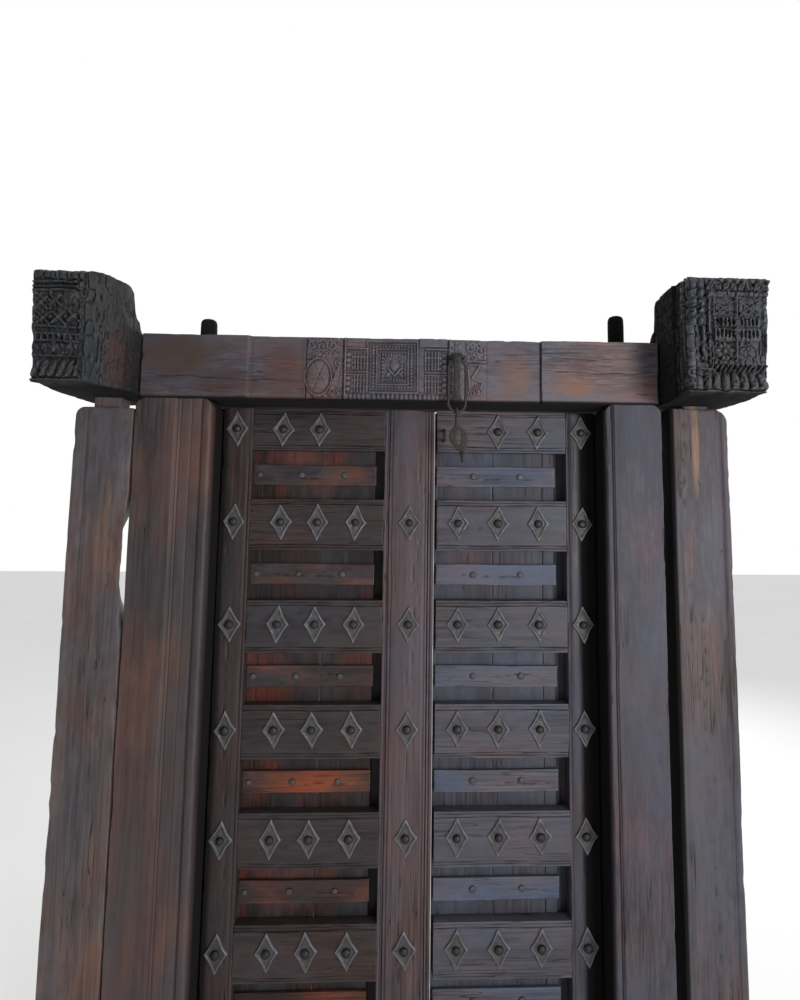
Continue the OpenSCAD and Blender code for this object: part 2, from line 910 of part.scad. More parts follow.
module left_batten_nails() {
    color(IRON)
        for (k = [1:rail_count - 1])
            for (x = batten_nails_left)
                batten_nail(x, k);
}

module right_batten_nails() {
    color(IRON)
        for (k = [1:rail_count - 1])
            for (x = batten_nails_right)
                batten_nail(x, k);
}

// ---- chain and hasp ----

// U staple, its legs driven into the lintel and its cross bar in front
module chain_staple() {
    color(IRON) {
        for (s = [-1, 1])
            bar_y_axis(chain_x + s * staple_half, bar_y, staple_z,
                       staple_out + staple_leg - eps, staple_bar_r);
        for (s = [-1, 1])
            translate([chain_x + s * staple_half, bar_y, staple_z])
                sphere(r = staple_bar_r);
        translate([chain_x - staple_half, bar_y, staple_z])
            rotate([0, 90, 0])
                cylinder(r = staple_bar_r, h = 2 * staple_half);
    }
}

// Long slot shape standing upright, between the centres of its two round ends
module stadium(r, low, high) {
    translate([0, low])
        circle(r = r);
    translate([0, high])
        circle(r = r);
    translate([-r, low])
        square([2 * r, high - low]);
}

// Flat iron folded over the staple, its two tails riveted together
module strap_link() {
    low = strap_bend_z + strap_out_r - strap_h + strap_out_r;
    color(IRON) {
        translate([chain_x - strap_w / 2, bar_y, 0])
            rotate([90, 0, 90])
                linear_extrude(strap_w)
                    difference() {
                        stadium(strap_out_r, low, strap_bend_z);
                        stadium(strap_in_r, low, strap_bend_z);
                    }
        bar_y_axis(chain_x, bar_y - strap_out_r, rivet_z, 2 * strap_out_r, rivet_r);
    }
}

// Half of a round ring in the XZ plane, above its centre for s = 1 and below it for s = -1
module half_ring(r, bar, s) {
    rotate([90, s > 0 ? 0 : 180, 0])
        rotate_extrude(angle = 180)
            translate([r, 0])
                circle(r = bar);
}

module long_loop() {
    top = loop_top_z - loop_half;
    low = loop_low_z + loop_half;
    color(IRON)
        translate([chain_x, bar_y, 0]) {
            translate([0, 0, top])
                half_ring(loop_half, loop_bar_r, 1);
            translate([0, 0, low])
                half_ring(loop_half, loop_bar_r, -1);
            for (s = [-1, 1])
                translate([s * loop_half, 0, low])
                    cylinder(r = loop_bar_r, h = top - low);
        }
}

// Hanging hasp: a round eye, a neck, and a slotted plate that leans to one side
module hasp() {
    color(IRON)
        translate([chain_x, bar_y, 0]) {
            translate([0, 0, eye_z])
                rotate([0, 90, 0])
                    rotate_extrude()
                        translate([eye_r, 0])
                            circle(r = eye_bar_r);
            translate([0, hasp_t / 2, hasp_top])
                rotate([90, 0, 0])
                    linear_extrude(hasp_t)
                        difference() {
                            polygon([[-hasp_neck, 0], [hasp_neck, 0], [hasp_neck + 2, -26],
                                     [hasp_half, -46], [hasp_half + 4, -70],
                                     [hasp_lean + 12, -hasp_h], [hasp_lean - 10, -hasp_h],
                                     [-hasp_half + 4, -66], [-hasp_half + 2, -44],
                                     [-hasp_neck - 2, -26]]);
                            polygon([[-2, -40], [hasp_half - 12, -52], [hasp_half - 8, -68],
                                     [hasp_lean - 2, -78], [-hasp_half + 14, -62],
                                     [-hasp_half + 14, -50]]);
                            translate([hasp_lean + 1, -hasp_h + 10])
                                circle(r = ring_bar_r + 2);
                        }
        }
}

// Ring in the hasp's lower hole
module hasp_ring() {
    color(IRON)
        translate([chain_x + hasp_lean + 1, bar_y, hasp_top - hasp_h + 9 - ring_r])
            rotate([0, 90, 0])
                rotate_extrude()
                    translate([ring_r, 0])
                        circle(r = ring_bar_r);
}

// Holes for the door staple's legs
module door_staple_holes() {
    for (s = [-1, 1])
        bar_y_axis(door_staple_x, -eps, door_staple_z + s * door_staple_half,
                   door_staple_leg + eps, staple_bar_r + hole_slack);
}

// U staple on the right leaf that the hasp is slipped over
module hasp_staple() {
    z = door_staple_z;
    color(IRON) {
        for (s = [-1, 1])
            bar_y_axis(door_staple_x, -door_staple_out, z + s * door_staple_half,
                       door_staple_out + door_staple_leg - eps, staple_bar_r);
        for (s = [-1, 1])
            translate([door_staple_x, -door_staple_out, z + s * door_staple_half])
                sphere(r = staple_bar_r);
        translate([door_staple_x, -door_staple_out, z - door_staple_half])
            cylinder(r = staple_bar_r, h = 2 * door_staple_half);
    }
}

threshold();
lintel();
inner_jamb_left();
inner_jamb_right();
outer_jamb_left();
outer_jamb_right();
corbel_left();
corbel_right();
pivot_cup_left();
pivot_cup_right();
chain_staple();
hinge_stile_left();
meeting_stile();
left_rail(1);  // left_rail_1
left_rail(2);  // left_rail_2
left_rail(3);  // left_rail_3
left_rail(4);  // left_rail_4
left_rail(5);  // left_rail_5
left_rail(6);  // left_rail_6
left_rail(7);  // left_rail_7
left_board(1);  // left_board_1
left_board(2);  // left_board_2
left_board(3);  // left_board_3
left_batten(1);  // left_batten_1
left_batten(2);  // left_batten_2
left_batten(3);  // left_batten_3
left_batten(4);  // left_batten_4
left_batten(5);  // left_batten_5
left_batten(6);  // left_batten_6
left_boss_plates();
left_boss_nails();
left_batten_nails();
pivot_shoe_left();
hinge_stile_right();
right_rail(1);  // right_rail_1
right_rail(2);  // right_rail_2
right_rail(3);  // right_rail_3
right_rail(4);  // right_rail_4
right_rail(5);  // right_rail_5
right_rail(6);  // right_rail_6
right_rail(7);  // right_rail_7
right_board(1);  // right_board_1
right_board(2);  // right_board_2
right_board(3);  // right_board_3
right_batten(1);  // right_batten_1
right_batten(2);  // right_batten_2
right_batten(3);  // right_batten_3
right_batten(4);  // right_batten_4
right_batten(5);  // right_batten_5
right_batten(6);  // right_batten_6
right_boss_plates();
right_boss_nails();
right_batten_nails();
pivot_shoe_right();
hasp_staple();
strap_link();
long_loop();
hasp();
hasp_ring();
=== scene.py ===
"""Looks of the carved temple door: worn timber, carved relief, hammered iron and studio light.

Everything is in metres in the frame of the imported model: +X right, +Y back, +Z up.
Timber pieces are dense blocks whose faces are carved by height functions. Inside those
functions lengths are millimetres, measured from an edge of the piece.
"""
import json
import math
import random

import bpy
import numpy as np
from mathutils import Matrix, Vector


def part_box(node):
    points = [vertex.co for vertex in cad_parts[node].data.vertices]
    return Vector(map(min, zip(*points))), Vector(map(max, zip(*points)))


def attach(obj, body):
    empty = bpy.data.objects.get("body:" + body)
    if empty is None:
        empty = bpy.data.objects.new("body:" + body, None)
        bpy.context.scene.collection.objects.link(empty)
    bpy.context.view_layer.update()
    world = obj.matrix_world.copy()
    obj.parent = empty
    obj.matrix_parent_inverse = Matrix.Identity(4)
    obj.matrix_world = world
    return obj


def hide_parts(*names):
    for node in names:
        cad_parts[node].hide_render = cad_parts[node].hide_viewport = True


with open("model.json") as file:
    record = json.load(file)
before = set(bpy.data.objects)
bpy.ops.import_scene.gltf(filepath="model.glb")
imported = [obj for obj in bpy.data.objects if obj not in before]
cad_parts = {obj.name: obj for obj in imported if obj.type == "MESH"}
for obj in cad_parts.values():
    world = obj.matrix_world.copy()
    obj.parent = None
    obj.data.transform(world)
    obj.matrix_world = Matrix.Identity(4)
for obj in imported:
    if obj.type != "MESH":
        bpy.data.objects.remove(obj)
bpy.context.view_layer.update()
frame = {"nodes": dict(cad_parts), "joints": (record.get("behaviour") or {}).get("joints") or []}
NODES = frame["nodes"]
MM = 0.001


# ---------------------------------------------------------------- noise

def hashed(i, j, k, seed):
    h = (i * 374761393 + j * 668265263 + k * 1440662683 + seed * 69069) & 0xFFFFFFFF
    h = ((h ^ (h >> 13)) * 1274126177) & 0xFFFFFFFF
    return ((h ^ (h >> 16)) & 0xFFFF) / 65535.0


def noise(points, cell, seed=0):
    """Smooth noise from -1 to 1. cell is the size of its lumps: one number or one per axis."""
    q = points / np.asarray(cell, float)
    base = np.floor(q)
    t = q - base
    t = t * t * (3 - 2 * t)
    base = base.astype(np.int64)
    out = np.zeros(len(points))
    for dx in (0, 1):
        for dy in (0, 1):
            for dz in (0, 1):
                w = ((t[:, 0] if dx else 1 - t[:, 0]) * (t[:, 1] if dy else 1 - t[:, 1])
                     * (t[:, 2] if dz else 1 - t[:, 2]))
                out += w * hashed(base[:, 0] + dx, base[:, 1] + dy, base[:, 2] + dz, seed)
    return out * 2 - 1


def fbm(points, cell, octaves=3, seed=0):
    cell = np.asarray(cell, float)
    total = np.zeros(len(points))
    for i in range(octaves):
        total += noise(points, cell / 2 ** i, seed + 17 * i) / 2 ** i
    return total / (2 - 2 ** (1 - octaves))


def ramp(x, low, high):
    t = np.clip((x - low) / (high - low), 0, 1)
    return t * t * (3 - 2 * t)


def window(x, low, high, soft):
    return ramp(x, low - soft, low + soft) * (1 - ramp(x, high - soft, high + soft))


# ---------------------------------------------------------------- meshes

def block(xs, ys, zs, strips=None):
    """Surface of a box on the given grid lines. strips="z" or "x" spans the back with long
    faces from edge to edge in place of a dense grid. Returns points and faces."""
    nx, ny, nz = len(xs), len(ys), len(zs)
    on = np.zeros((nx, ny, nz), bool)
    on[0] = on[-1] = True
    on[:, 0] = on[:, -1] = True
    on[:, :, 0] = on[:, :, -1] = True
    if strips:
        on[1:-1, -1, 1:-1] = False
    ids = np.full((nx, ny, nz), -1)
    ids[on] = np.arange(on.sum())
    i, j, k = np.nonzero(on)
    points = np.stack([xs[i], ys[j], zs[k]], 1)

    def quads(g, flip):
        a, b, c, d = g[:-1, :-1], g[1:, :-1], g[1:, 1:], g[:-1, 1:]
        order = (a, d, c, b) if flip else (a, b, c, d)
        return np.stack([q.ravel() for q in order], 1).tolist()

    faces = quads(ids[:, 0, :], False)
    faces += quads(ids[0, :, :], True) + quads(ids[-1, :, :], False)
    faces += quads(ids[:, :, 0], True) + quads(ids[:, :, -1], False)
    back = ids[:, -1, :]
    if strips == "z":
        for r in range(nz - 1):
            up = list(back[1:-1, r + 1]) if r == nz - 2 else []
            down = list(back[1:-1, r][::-1]) if r == 0 else []
            faces.append([back[0, r], back[0, r + 1]] + up + [back[-1, r + 1], back[-1, r]] + down)
    elif strips == "x":
        for c in range(nx - 1):
            left = list(back[0, 1:-1]) if c == 0 else []
            right = list(back[-1, 1:-1][::-1]) if c == nx - 2 else []
            faces.append([back[c, 0]] + left + [back[c, -1], back[c + 1, -1]] + right
                         + [back[c + 1, 0]])
    else:
        faces += quads(back, True)
    return points, faces


def worn(points, low, high, radius):
    """Rounds every edge of the box from low to high; radius may differ from point to point."""
    r = np.broadcast_to(np.asarray(radius, float), (len(points),))[:, None]
    r = np.minimum(r, (np.asarray(high) - np.asarray(low)).min() / 2.01)
    core = np.clip(points, np.asarray(low) + r, np.asarray(high) - r)
    off = points - core
    length = np.linalg.norm(off, axis=1)[:, None]
    return core + off * np.where(length > 1e-9, r / np.maximum(length, 1e-9), 0)


def press(points, depth, front, back):
    """Pushes the front face in by depth and squeezes what is behind it to match."""
    points[:, 1] += depth * (1 - (points[:, 1] - front) / (back - front))
    return points


def shells(*parts):
    """Joins (points, faces) pairs into one pair."""
    points, faces, start = [], [], 0
    for p, f in parts:
        points.append(np.asarray(p, float))
        faces += [[v + start for v in face] for face in f]
        start += len(p)
    return np.vstack(points), faces


def piece(name, mesh_parts, material, body, replaces=(), sharp=38):
    """A finished object: mesh, material, body and the CAD nodes that it stands for."""
    points, faces = mesh_parts
    mesh = bpy.data.meshes.new(name)
    mesh.from_pydata(points.tolist(), [], [[int(v) for v in f] for f in faces])
    mesh.update()
    mesh.shade_smooth()
    mesh.set_sharp_from_angle(angle=math.radians(sharp))
    mesh.materials.append(material)
    obj = bpy.data.objects.new(name, mesh)
    bpy.context.scene.collection.objects.link(obj)
    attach(obj, body)
    if replaces:
        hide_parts(*replaces)
    return obj


def skin(rings, steps, closed=False):
    """Faces between rings of points that follow one another; closed joins last to first."""
    faces = []
    for i in range(rings if closed else rings - 1):
        j = (i + 1) % rings
        for s in range(steps):
            t = (s + 1) % steps
            faces.append([i * steps + s, i * steps + t, j * steps + t, j * steps + s])
    return faces


def lathe(profile, segments=24, centre=(0, 0, 0), axis="z"):
    """Turns (radius, height) points round an axis and closes both ends."""
    points = []
    for r, h in profile:
        for s in range(segments):
            a = 2 * math.pi * s / segments
            points.append((r * math.cos(a), r * math.sin(a), h))
    rings = len(profile)
    faces = skin(rings, segments)
    faces.append(list(range(segments))[::-1])
    faces.append([(rings - 1) * segments + s for s in range(segments)])
    points = np.array(points)
    if axis == "y":
        points = points[:, [0, 2, 1]] * np.array([1, -1, 1])
    return points + np.asarray(centre), faces


def tube(path, radius, segments=12, closed=False, section=None):
    """Sweeps a round or given section along a path. section lists (side, normal) offsets,
    and its side starts square to the path and to the vertical, or to X on an upright path."""
    path = np.asarray(path, float)
    n = len(path)
    radii = np.broadcast_to(np.asarray(radius, float), (n,))
    ahead = np.roll(path, -1, 0) - np.roll(path, 1, 0)
    if not closed:
        ahead[0] = path[1] - path[0]
        ahead[-1] = path[-1] - path[-2]
    ahead /= np.linalg.norm(ahead, axis=1)[:, None]
    side = np.cross(ahead[0], (0, 0, 1))
    if np.linalg.norm(side) < 0.1:
        side = np.cross(ahead[0], (1, 0, 0))
    points = []
    if section is None:
        section = [(math.cos(2 * math.pi * s / segments), math.sin(2 * math.pi * s / segments))
                   for s in range(segments)]
    m = len(section)
    for i in range(n):
        side = side - ahead[i] * np.dot(side, ahead[i])
        side /= np.linalg.norm(side)
        up = np.cross(ahead[i], side)
        for a, b in section:
            points.append(path[i] + radii[i] * (a * side + b * up))
    faces = skin(n, m, closed)
    if not closed:
        faces.append(list(range(m))[::-1])
        faces.append([(n - 1) * m + s for s in range(m)])
    return np.array(points), faces


# ---------------------------------------------------------------- relief strokes, in millimetres

def oval(u, w, cu, cw, ru, rw, high, turn=0.0):
    c, s = math.cos(math.radians(turn)), math.sin(math.radians(turn))
    a = ((u - cu) * c + (w - cw) * s) / ru
    b = (-(u - cu) * s + (w - cw) * c) / rw
    return high * np.sqrt(np.clip(1 - a * a - b * b, 0, 1))


def stroke(u, w, u0, w0, u1, w1, half, high):
    du, dw = u1 - u0, w1 - w0
    t = np.clip(((u - u0) * du + (w - w0) * dw) / max(du * du + dw * dw, 1e-9), 0, 1)
    d = np.hypot(u - u0 - t * du, w - w0 - t * dw) / half
    return high * np.sqrt(np.clip(1 - d * d, 0, 1))


def ring(u, w, cu, cw, ru, rw, half, high):
    d = (np.hypot((u - cu) / ru, (w - cw) / rw) - 1) * min(ru, rw) / half
    return high * np.sqrt(np.clip(1 - d * d, 0, 1))


def square_ring(u, w, cu, cw, hu, hw, half, high):
    d = np.abs(np.maximum(np.abs(u - cu) - hu, np.abs(w - cw) - hw)) / half
    return high * np.sqrt(np.clip(1 - d * d, 0, 1))


def plate(u, w, u0, u1, w0, w1, high, soft=1.2):
    return high * window(u, u0, u1, soft) * window(w, w0, w1, soft)


def beads(u, w, start, end, count, r, high, long=1.0):
    out = np.zeros_like(u)
    for t in np.linspace(0, 1, count):
        out = np.maximum(out, oval(u, w, start[0] + t * (end[0] - start[0]),
                                   start[1] + t * (end[1] - start[1]), r, r * long, high))
    return out


def leaf(u, w, cu, cw, ru, rw, high, turn):
    """A pointed leaf with a sunk midrib."""
    c, s = math.cos(math.radians(turn)), math.sin(math.radians(turn))
    a = ((u - cu) * c + (w - cw) * s) / ru
    b = (-(u - cu) * s + (w - cw) * c) / rw
    body = np.clip(1 - np.abs(a) / np.clip(1 - b * b, 0.02, 1), 0, 1) * (np.abs(b) < 1)
    vein = 1 - 0.45 * np.exp(-(a / 0.16) ** 2)
    return high * np.sqrt(body) * vein


def blossom(u, w, cu, cw, r, petals, high, turn=0.0):
    out = oval(u, w, cu, cw, r * 0.3, r * 0.3, high)
    for i in range(petals):
        a = math.radians(turn + 360 * i / petals)
        out = np.maximum(out, oval(u, w, cu + 0.62 * r * math.cos(a), cw + 0.62 * r * math.sin(a),
                                   r * 0.36, r * 0.24, high * 0.85, math.degrees(a)))
    return out


def curl(u, w, cu, cw, r, high, start=0.0, turns=1.4, thick=0.2, hand=1):
    """A tendril that winds in to a bead."""
    out = oval(u, w, cu, cw, r * 0.24, r * 0.24, high)
    for t in np.linspace(0, 1, 22):
        a = math.radians(start) + hand * t * turns * 2 * math.pi
        rr = r * (1 - 0.72 * t)
        out = np.maximum(out, oval(u, w, cu + rr * math.cos(a), cw + rr * math.sin(a),
                                   r * thick, r * thick, high * 0.9))
    return out


def crack(u, w, u0, w0, w1, width, deep, seed):
    """A split that wanders along w near u0."""
    way = u0 + 3.5 * np.sin(w / 61.0 + seed) + 1.8 * np.sin(w / 17.0 + 2 * seed)
    ends = window(w, w0, w1, 0.12 * (w1 - w0))
    return deep * ends * np.exp(-((u - way) / width) ** 2)


class Relief:
    """Carving on a face at places u, w: the highest of all that is carved there."""

    def __init__(self, u, w):
        self.u, self.w, self.height = u, w, np.zeros_like(u)

    def over(self, height):
        self.height = np.maximum(self.height, height)

    def add(self, shape, *values):
        self.over(shape(self.u, self.w, *values))


# ---------------------------------------------------------------- materials

class Graph:
    """A short way to write a material's nodes."""

    def __init__(self, name):
        self.material = bpy.data.materials.new(name)
        self.material.use_nodes = True
        self.tree = self.material.node_tree
        self.shader = self.tree.nodes["Principled BSDF"]
        self.place = self.add("ShaderNodeTexCoord").outputs["Object"]

    def add(self, kind, **values):
        node = self.tree.nodes.new(kind)
        for key, value in values.items():
            setattr(node, key, value)
        return node

    def link(self, a, b):
        self.tree.links.new(a, b)

    def mapped(self, scale, offset=(0, 0, 0)):
        node = self.add("ShaderNodeMapping")
        node.inputs["Scale"].default_value = scale
        node.inputs["Location"].default_value = offset
        self.link(self.place, node.inputs["Vector"])
        return node.outputs["Vector"]

    def clouds(self, scale, offset=(0, 0, 0), detail=4.0, rough=0.55, distort=0.0):
        node = self.add("ShaderNodeTexNoise")
        node.inputs["Scale"].default_value = 1.0
        node.inputs["Detail"].default_value = detail
        node.inputs["Roughness"].default_value = rough
        node.inputs["Distortion"].default_value = distort
        self.link(self.mapped(scale, offset), node.inputs["Vector"])
        return node.outputs["Fac"]

    def curve(self, value, *stops):
        """Maps a value through (place, level) stops."""
        node = self.add("ShaderNodeValToRGB")
        ends = node.color_ramp.elements
        ends[0].position, ends[1].position = stops[0][0], stops[-1][0]
        for at, level in stops[1:-1]:
            ends.new(at)
        for end, (at, level) in zip(sorted(ends, key=lambda e: e.position), stops):
            end.color = (level, level, level, 1)
        self.link(value, node.inputs["Fac"])
        return node.outputs["Color"]

    def mix(self, factor, a, b, blend="MIX"):
        node = self.add("ShaderNodeMix", data_type="RGBA", blend_type=blend)
        for value, socket in ((factor, node.inputs[0]), (a, node.inputs[6]), (b, node.inputs[7])):
            if isinstance(value, (int, float)):
                socket.default_value = value
            elif isinstance(value, tuple):
                socket.default_value = (*value, 1)
            else:
                self.link(value, socket)
        return node.outputs[2]

    def math(self, kind, a, b):
        node = self.add("ShaderNodeMath", operation=kind)
        for value, socket in ((a, node.inputs[0]), (b, node.inputs[1])):
            if isinstance(value, (int, float)):
                socket.default_value = value
            else:
                self.link(value, socket)
        return node.outputs[0]

    def pointiness(self):
        return self.add("ShaderNodeNewGeometry").outputs["Pointiness"]

    def finish(self, colour, roughness, height, deep, specular=0.5, metallic=0.0):
        bump = self.add("ShaderNodeBump")
        bump.inputs["Strength"].default_value = 0.9
        bump.inputs["Distance"].default_value = deep
        self.link(height, bump.inputs["Height"])
        self.link(bump.outputs["Normal"], self.shader.inputs["Normal"])
        self.link(colour, self.shader.inputs["Base Color"])
        self.link(roughness, self.shader.inputs["Roughness"])
        self.shader.inputs["Specular IOR Level"].default_value = specular
        self.shader.inputs["Metallic"].default_value = metallic
        return self.material


def stretched(along, fine, long):
    """Texture scale for grain that runs along x or z."""
    return (long, fine, fine) if along == "x" else (fine, fine, long)


def timber(name, along, dark, mid, light, patch=None, patch_share=0.5, dust_and_sheen=(0.075, 0.08, 0.095),
           dust_and_sheen_share=0.3, rough=0.5, painted_shade=(), stains=(), tint=0.5, mottle=1.0, seed=0):
    """Weathered hardwood: soft bands of tone, fine grain, a few drying checks, thin dust that also
    serves as a painted blue-grey sheen.

    painted_shade lists (axis, lit place, black place, share): painted shade, a dark tone laid on by
    place that stands in for shadow and for soot towards a side in shade.
    stains lists (x, z, half width, half height, colour) for discoloured places.
    tint is how far broad clouds pull the wood towards red-brown and towards blue-grey.
    mottle above 1 breaks the long bands up into patches."""
    g = Graph(name)
    at = (seed * 3.1, seed * 1.7, seed * 2.3)
    bands = g.clouds(stretched(along, 16, 1.1 * mottle), at, 4, 0.55, 0.5)
    grain = g.clouds(stretched(along, 170, 5 * mottle), at, 5, 0.6)
    broad = g.clouds(stretched(along, 6.5, 2.6), at, 3, 0.5)
    fleck = g.clouds(stretched(along, 60, 22), at, 5, 0.6)
    checks = g.clouds(stretched(along, 40, 1.5), at, 2, 0.5, 0.2)

    colour = g.mix(g.curve(bands, (0.3, 0), (0.7, 1)), dark, mid)
    colour = g.mix(g.math("MULTIPLY", g.curve(grain, (0.42, 0), (0.75, 0.6)),
                          g.curve(broad, (0.35, 0.2), (0.7, 1))), colour, light)
    if patch:
        where = g.math("MULTIPLY", g.curve(g.clouds(stretched(along, 8, 3.4), at[::-1], 4, 0.55),
                                           (0.62 - 0.2 * patch_share, 0), (0.75, 0.85)),
                       g.curve(grain, (0.3, 0.5), (0.6, 1)))
        colour = g.mix(where, colour, patch)
    warm = g.clouds(stretched(along, 7, 3.5), at[::-1], 3, 0.5)
    colour = g.mix(g.curve(warm, (0.42, 0), (0.68, tint)), colour,
                   g.mix(1.0, colour, (1.5, 0.95, 0.72), "MULTIPLY"))
    colour = g.mix(g.curve(warm, (0.32, tint), (0.52, 0)), colour,
                   g.mix(1.0, colour, (0.72, 0.85, 1.08), "MULTIPLY"))
    # dust in broad soft patches, which also serves as a painted blue-grey sheen
    dust_and_sheen_mask = g.math("MULTIPLY", g.curve(fleck, (0.35, 0.35 * dust_and_sheen_share), (0.72, dust_and_sheen_share)),
                   g.curve(broad, (0.3, 1.3), (0.68, 0.1)))
    colour = g.mix(dust_and_sheen_mask, colour, dust_and_sheen)
    split = g.curve(checks, (0.492, 1), (0.5, 0), (0.508, 1))
    split = g.math("MAXIMUM", split, g.curve(broad, (0.5, 1), (0.56, 0)))
    colour = g.mix(split, g.mix(0.8, colour, (0.004, 0.003, 0.003)), colour)
    edge = g.pointiness()
    # painted shade: hollow places go near black
    colour = g.mix(g.curve(edge, (0.42, 1), (0.495, 0)), colour, (0.004, 0.003, 0.003))
    colour = g.mix(g.math("MULTIPLY", g.curve(edge, (0.51, 0), (0.6, 0.8)),
                          g.curve(fleck, (0.35, 0.3), (0.6, 1))), colour, light)
    parts = g.add("ShaderNodeSeparateXYZ")
    g.link(g.place, parts.inputs[0])
    for x, z, half, tall, tone in stains:
        across = g.math("DIVIDE", g.math("SUBTRACT", parts.outputs[0], x), half)
        upward = g.math("DIVIDE", g.math("SUBTRACT", parts.outputs[2], z), tall)
        far = g.math("ADD", g.math("MULTIPLY", across, across), g.math("MULTIPLY", upward, upward))
        far = g.math("MULTIPLY", g.math("ADD", far, g.math("MULTIPLY", broad, 1.6)), 0.4)
        spread = g.math("MULTIPLY", g.curve(far, (0.36, 0.8), (0.75, 0)),
                        g.curve(fleck, (0.3, 0.35), (0.62, 1)))
        colour = g.mix(spread, colour, tone)
    roughness = g.curve(g.math("MULTIPLY", fleck, grain), (0.12, rough - 0.14), (0.4, rough + 0.18))
    # painted shade: the colour goes to near black towards the shaded place, and the roughness goes
    # to 1
    for axis, lit_end, black, share in painted_shade:
        reach = g.add("ShaderNodeMapRange")
        reach.inputs["From Min"].default_value = lit_end
        reach.inputs["From Max"].default_value = black
        g.link(parts.outputs[axis], reach.inputs["Value"])
        shade_share = g.math("MULTIPLY", reach.outputs["Result"], share)
        colour = g.mix(shade_share, colour, (0.0025, 0.002, 0.002))
        roughness = g.mix(shade_share, roughness, (1.0, 1.0, 1.0))

    height = g.math("ADD", g.math("MULTIPLY", grain, 0.35), g.math("MULTIPLY", fleck, 0.3))
    height = g.math("ADD", height, g.math("MULTIPLY", split, 0.6))
    return g.finish(colour, roughness, height, 0.0012, 0.20)


def forged_iron(name, base, rust, rust_share, rough=0.47, metal=0.75, rub=0.7, seed=0):
    """Hammered wrought iron with thin rust and rubbed high places."""
    g = Graph(name)
    at = (seed * 1.9, seed * 2.7, seed)
    blows = g.clouds((70, 70, 70), at, 2, 0.4)
    scale = g.clouds((260, 260, 260), at, 5, 0.7)
    spots = g.clouds((34, 34, 34), at, 5, 0.65)
    colour = g.mix(g.curve(scale, (0.35, 0), (0.7, 1)), base, tuple(2.0 * c for c in base))
    colour = g.mix(g.curve(spots, (0.66 - 0.25 * rust_share, 0), (0.74, 0.85)), colour, rust)
    edge = g.pointiness()
    colour = g.mix(g.curve(edge, (0.515, 0), (0.60, rub)), colour, (0.26, 0.26, 0.28))
    colour = g.mix(g.curve(edge, (0.4, 0.9), (0.49, 0)), colour, (0.004, 0.0035, 0.003))
    roughness = g.curve(spots, (0.35, rough - 0.08), (0.7, rough + 0.28))
    height = g.math("ADD", blows, g.math("MULTIPLY", scale, 0.35))
    return g.finish(colour, roughness, height, 0.0018, 0.5, metal)


def plain_floor():
    g = Graph("pale_floor")
    tone = g.clouds((1.3, 1.3, 1.3), (0, 0, 0), 3, 0.5)
    colour = g.mix(tone, (0.80, 0.80, 0.80), (0.86, 0.86, 0.86))
    return g.finish(colour, g.curve(tone, (0.3, 0.62), (0.7, 0.7)), tone, 0.0004, 0.3)


DARK = (0.013, 0.008, 0.006)
SILL_DUST = (0.14, 0.13, 0.12)
# blue-grey dust that also serves as a painted blue-grey sheen
BLUE_DUST_AND_SHEEN = (0.080, 0.092, 0.130)
UNDERSIDE_SHADE = [(2, 2.024, 2.018, 0.95)]         # painted shade on what faces the doorway from above
LEAF_WOOD = timber("leaf_timber", "x", DARK, (0.026, 0.018, 0.018), (0.066, 0.050, 0.050),
                   mottle=1.6, seed=1)
# painted shade: the left hinge stile goes near black along its outer edge beside the jamb
LEAF_UPRIGHT = timber("leaf_upright_timber", "z", DARK, (0.032, 0.021, 0.019),
                      (0.078, 0.056, 0.052), painted_shade=[(0, -0.528, -0.540, 0.9)], seed=2)
RIGHT_WOOD = timber("right_leaf_timber", "x", (0.020, 0.017, 0.018), (0.062, 0.054, 0.061),
                    (0.150, 0.138, 0.152), dust_and_sheen=BLUE_DUST_AND_SHEEN, dust_and_sheen_share=0.6, rough=0.46, seed=3)
# painted shadow: the right jamb's shadow is laid as near black over the outer part of the right
# hinge stile
RIGHT_UPRIGHT = timber("right_upright_timber", "z", (0.018, 0.015, 0.016), (0.052, 0.044, 0.048),
                       (0.125, 0.110, 0.120), dust_and_sheen=BLUE_DUST_AND_SHEEN, dust_and_sheen_share=0.5, rough=0.46,
                       painted_shade=[(0, 0.494, 0.508, 0.97)], seed=15)
MEETING_WOOD = timber("meeting_stile_timber", "z", (0.028, 0.017, 0.015), (0.080, 0.052, 0.050),
                      (0.165, 0.120, 0.118), dust_and_sheen=BLUE_DUST_AND_SHEEN, dust_and_sheen_share=0.4, seed=4)
# painted shade: the lintel's underside is laid near black, and its face darkens towards the left
# end, where less light falls
LINTEL_WOOD = timber("lintel_timber", "x", (0.046, 0.032, 0.033), (0.100, 0.077, 0.083),
                     (0.240, 0.215, 0.230), patch=(0.150, 0.070, 0.036), patch_share=0.4,
                     dust_and_sheen=(0.125, 0.128, 0.160), dust_and_sheen_share=0.7,
                     painted_shade=UNDERSIDE_SHADE + [(0, 0.35, -0.55, 0.42)],
                     stains=[(-0.66, 2.13, 0.13, 0.070, (0.085, 0.042, 0.017)),
                             (-0.52, 2.06, 0.12, 0.045, (0.085, 0.036, 0.024)),
                             (-0.36, 2.09, 0.07, 0.090, (0.105, 0.040, 0.026)),
                             (0.30, 2.10, 0.06, 0.080, (0.150, 0.082, 0.055)),
                             (0.47, 2.07, 0.07, 0.040, (0.180, 0.092, 0.060))],
                     tint=0.9, mottle=4.5, seed=5)
# painted shade: the left inner jamb goes near black towards its back, deep in the doorway
JAMB_LEFT_WOOD = timber("left_jamb_timber", "z", (0.020, 0.013, 0.011), (0.062, 0.039, 0.033),
                        (0.120, 0.090, 0.082), patch=(0.105, 0.052, 0.026), patch_share=0.5,
                        dust_and_sheen=(0.08, 0.085, 0.105), painted_shade=[(1, -0.080, -0.055, 0.95)], tint=0.8,
                        seed=6)
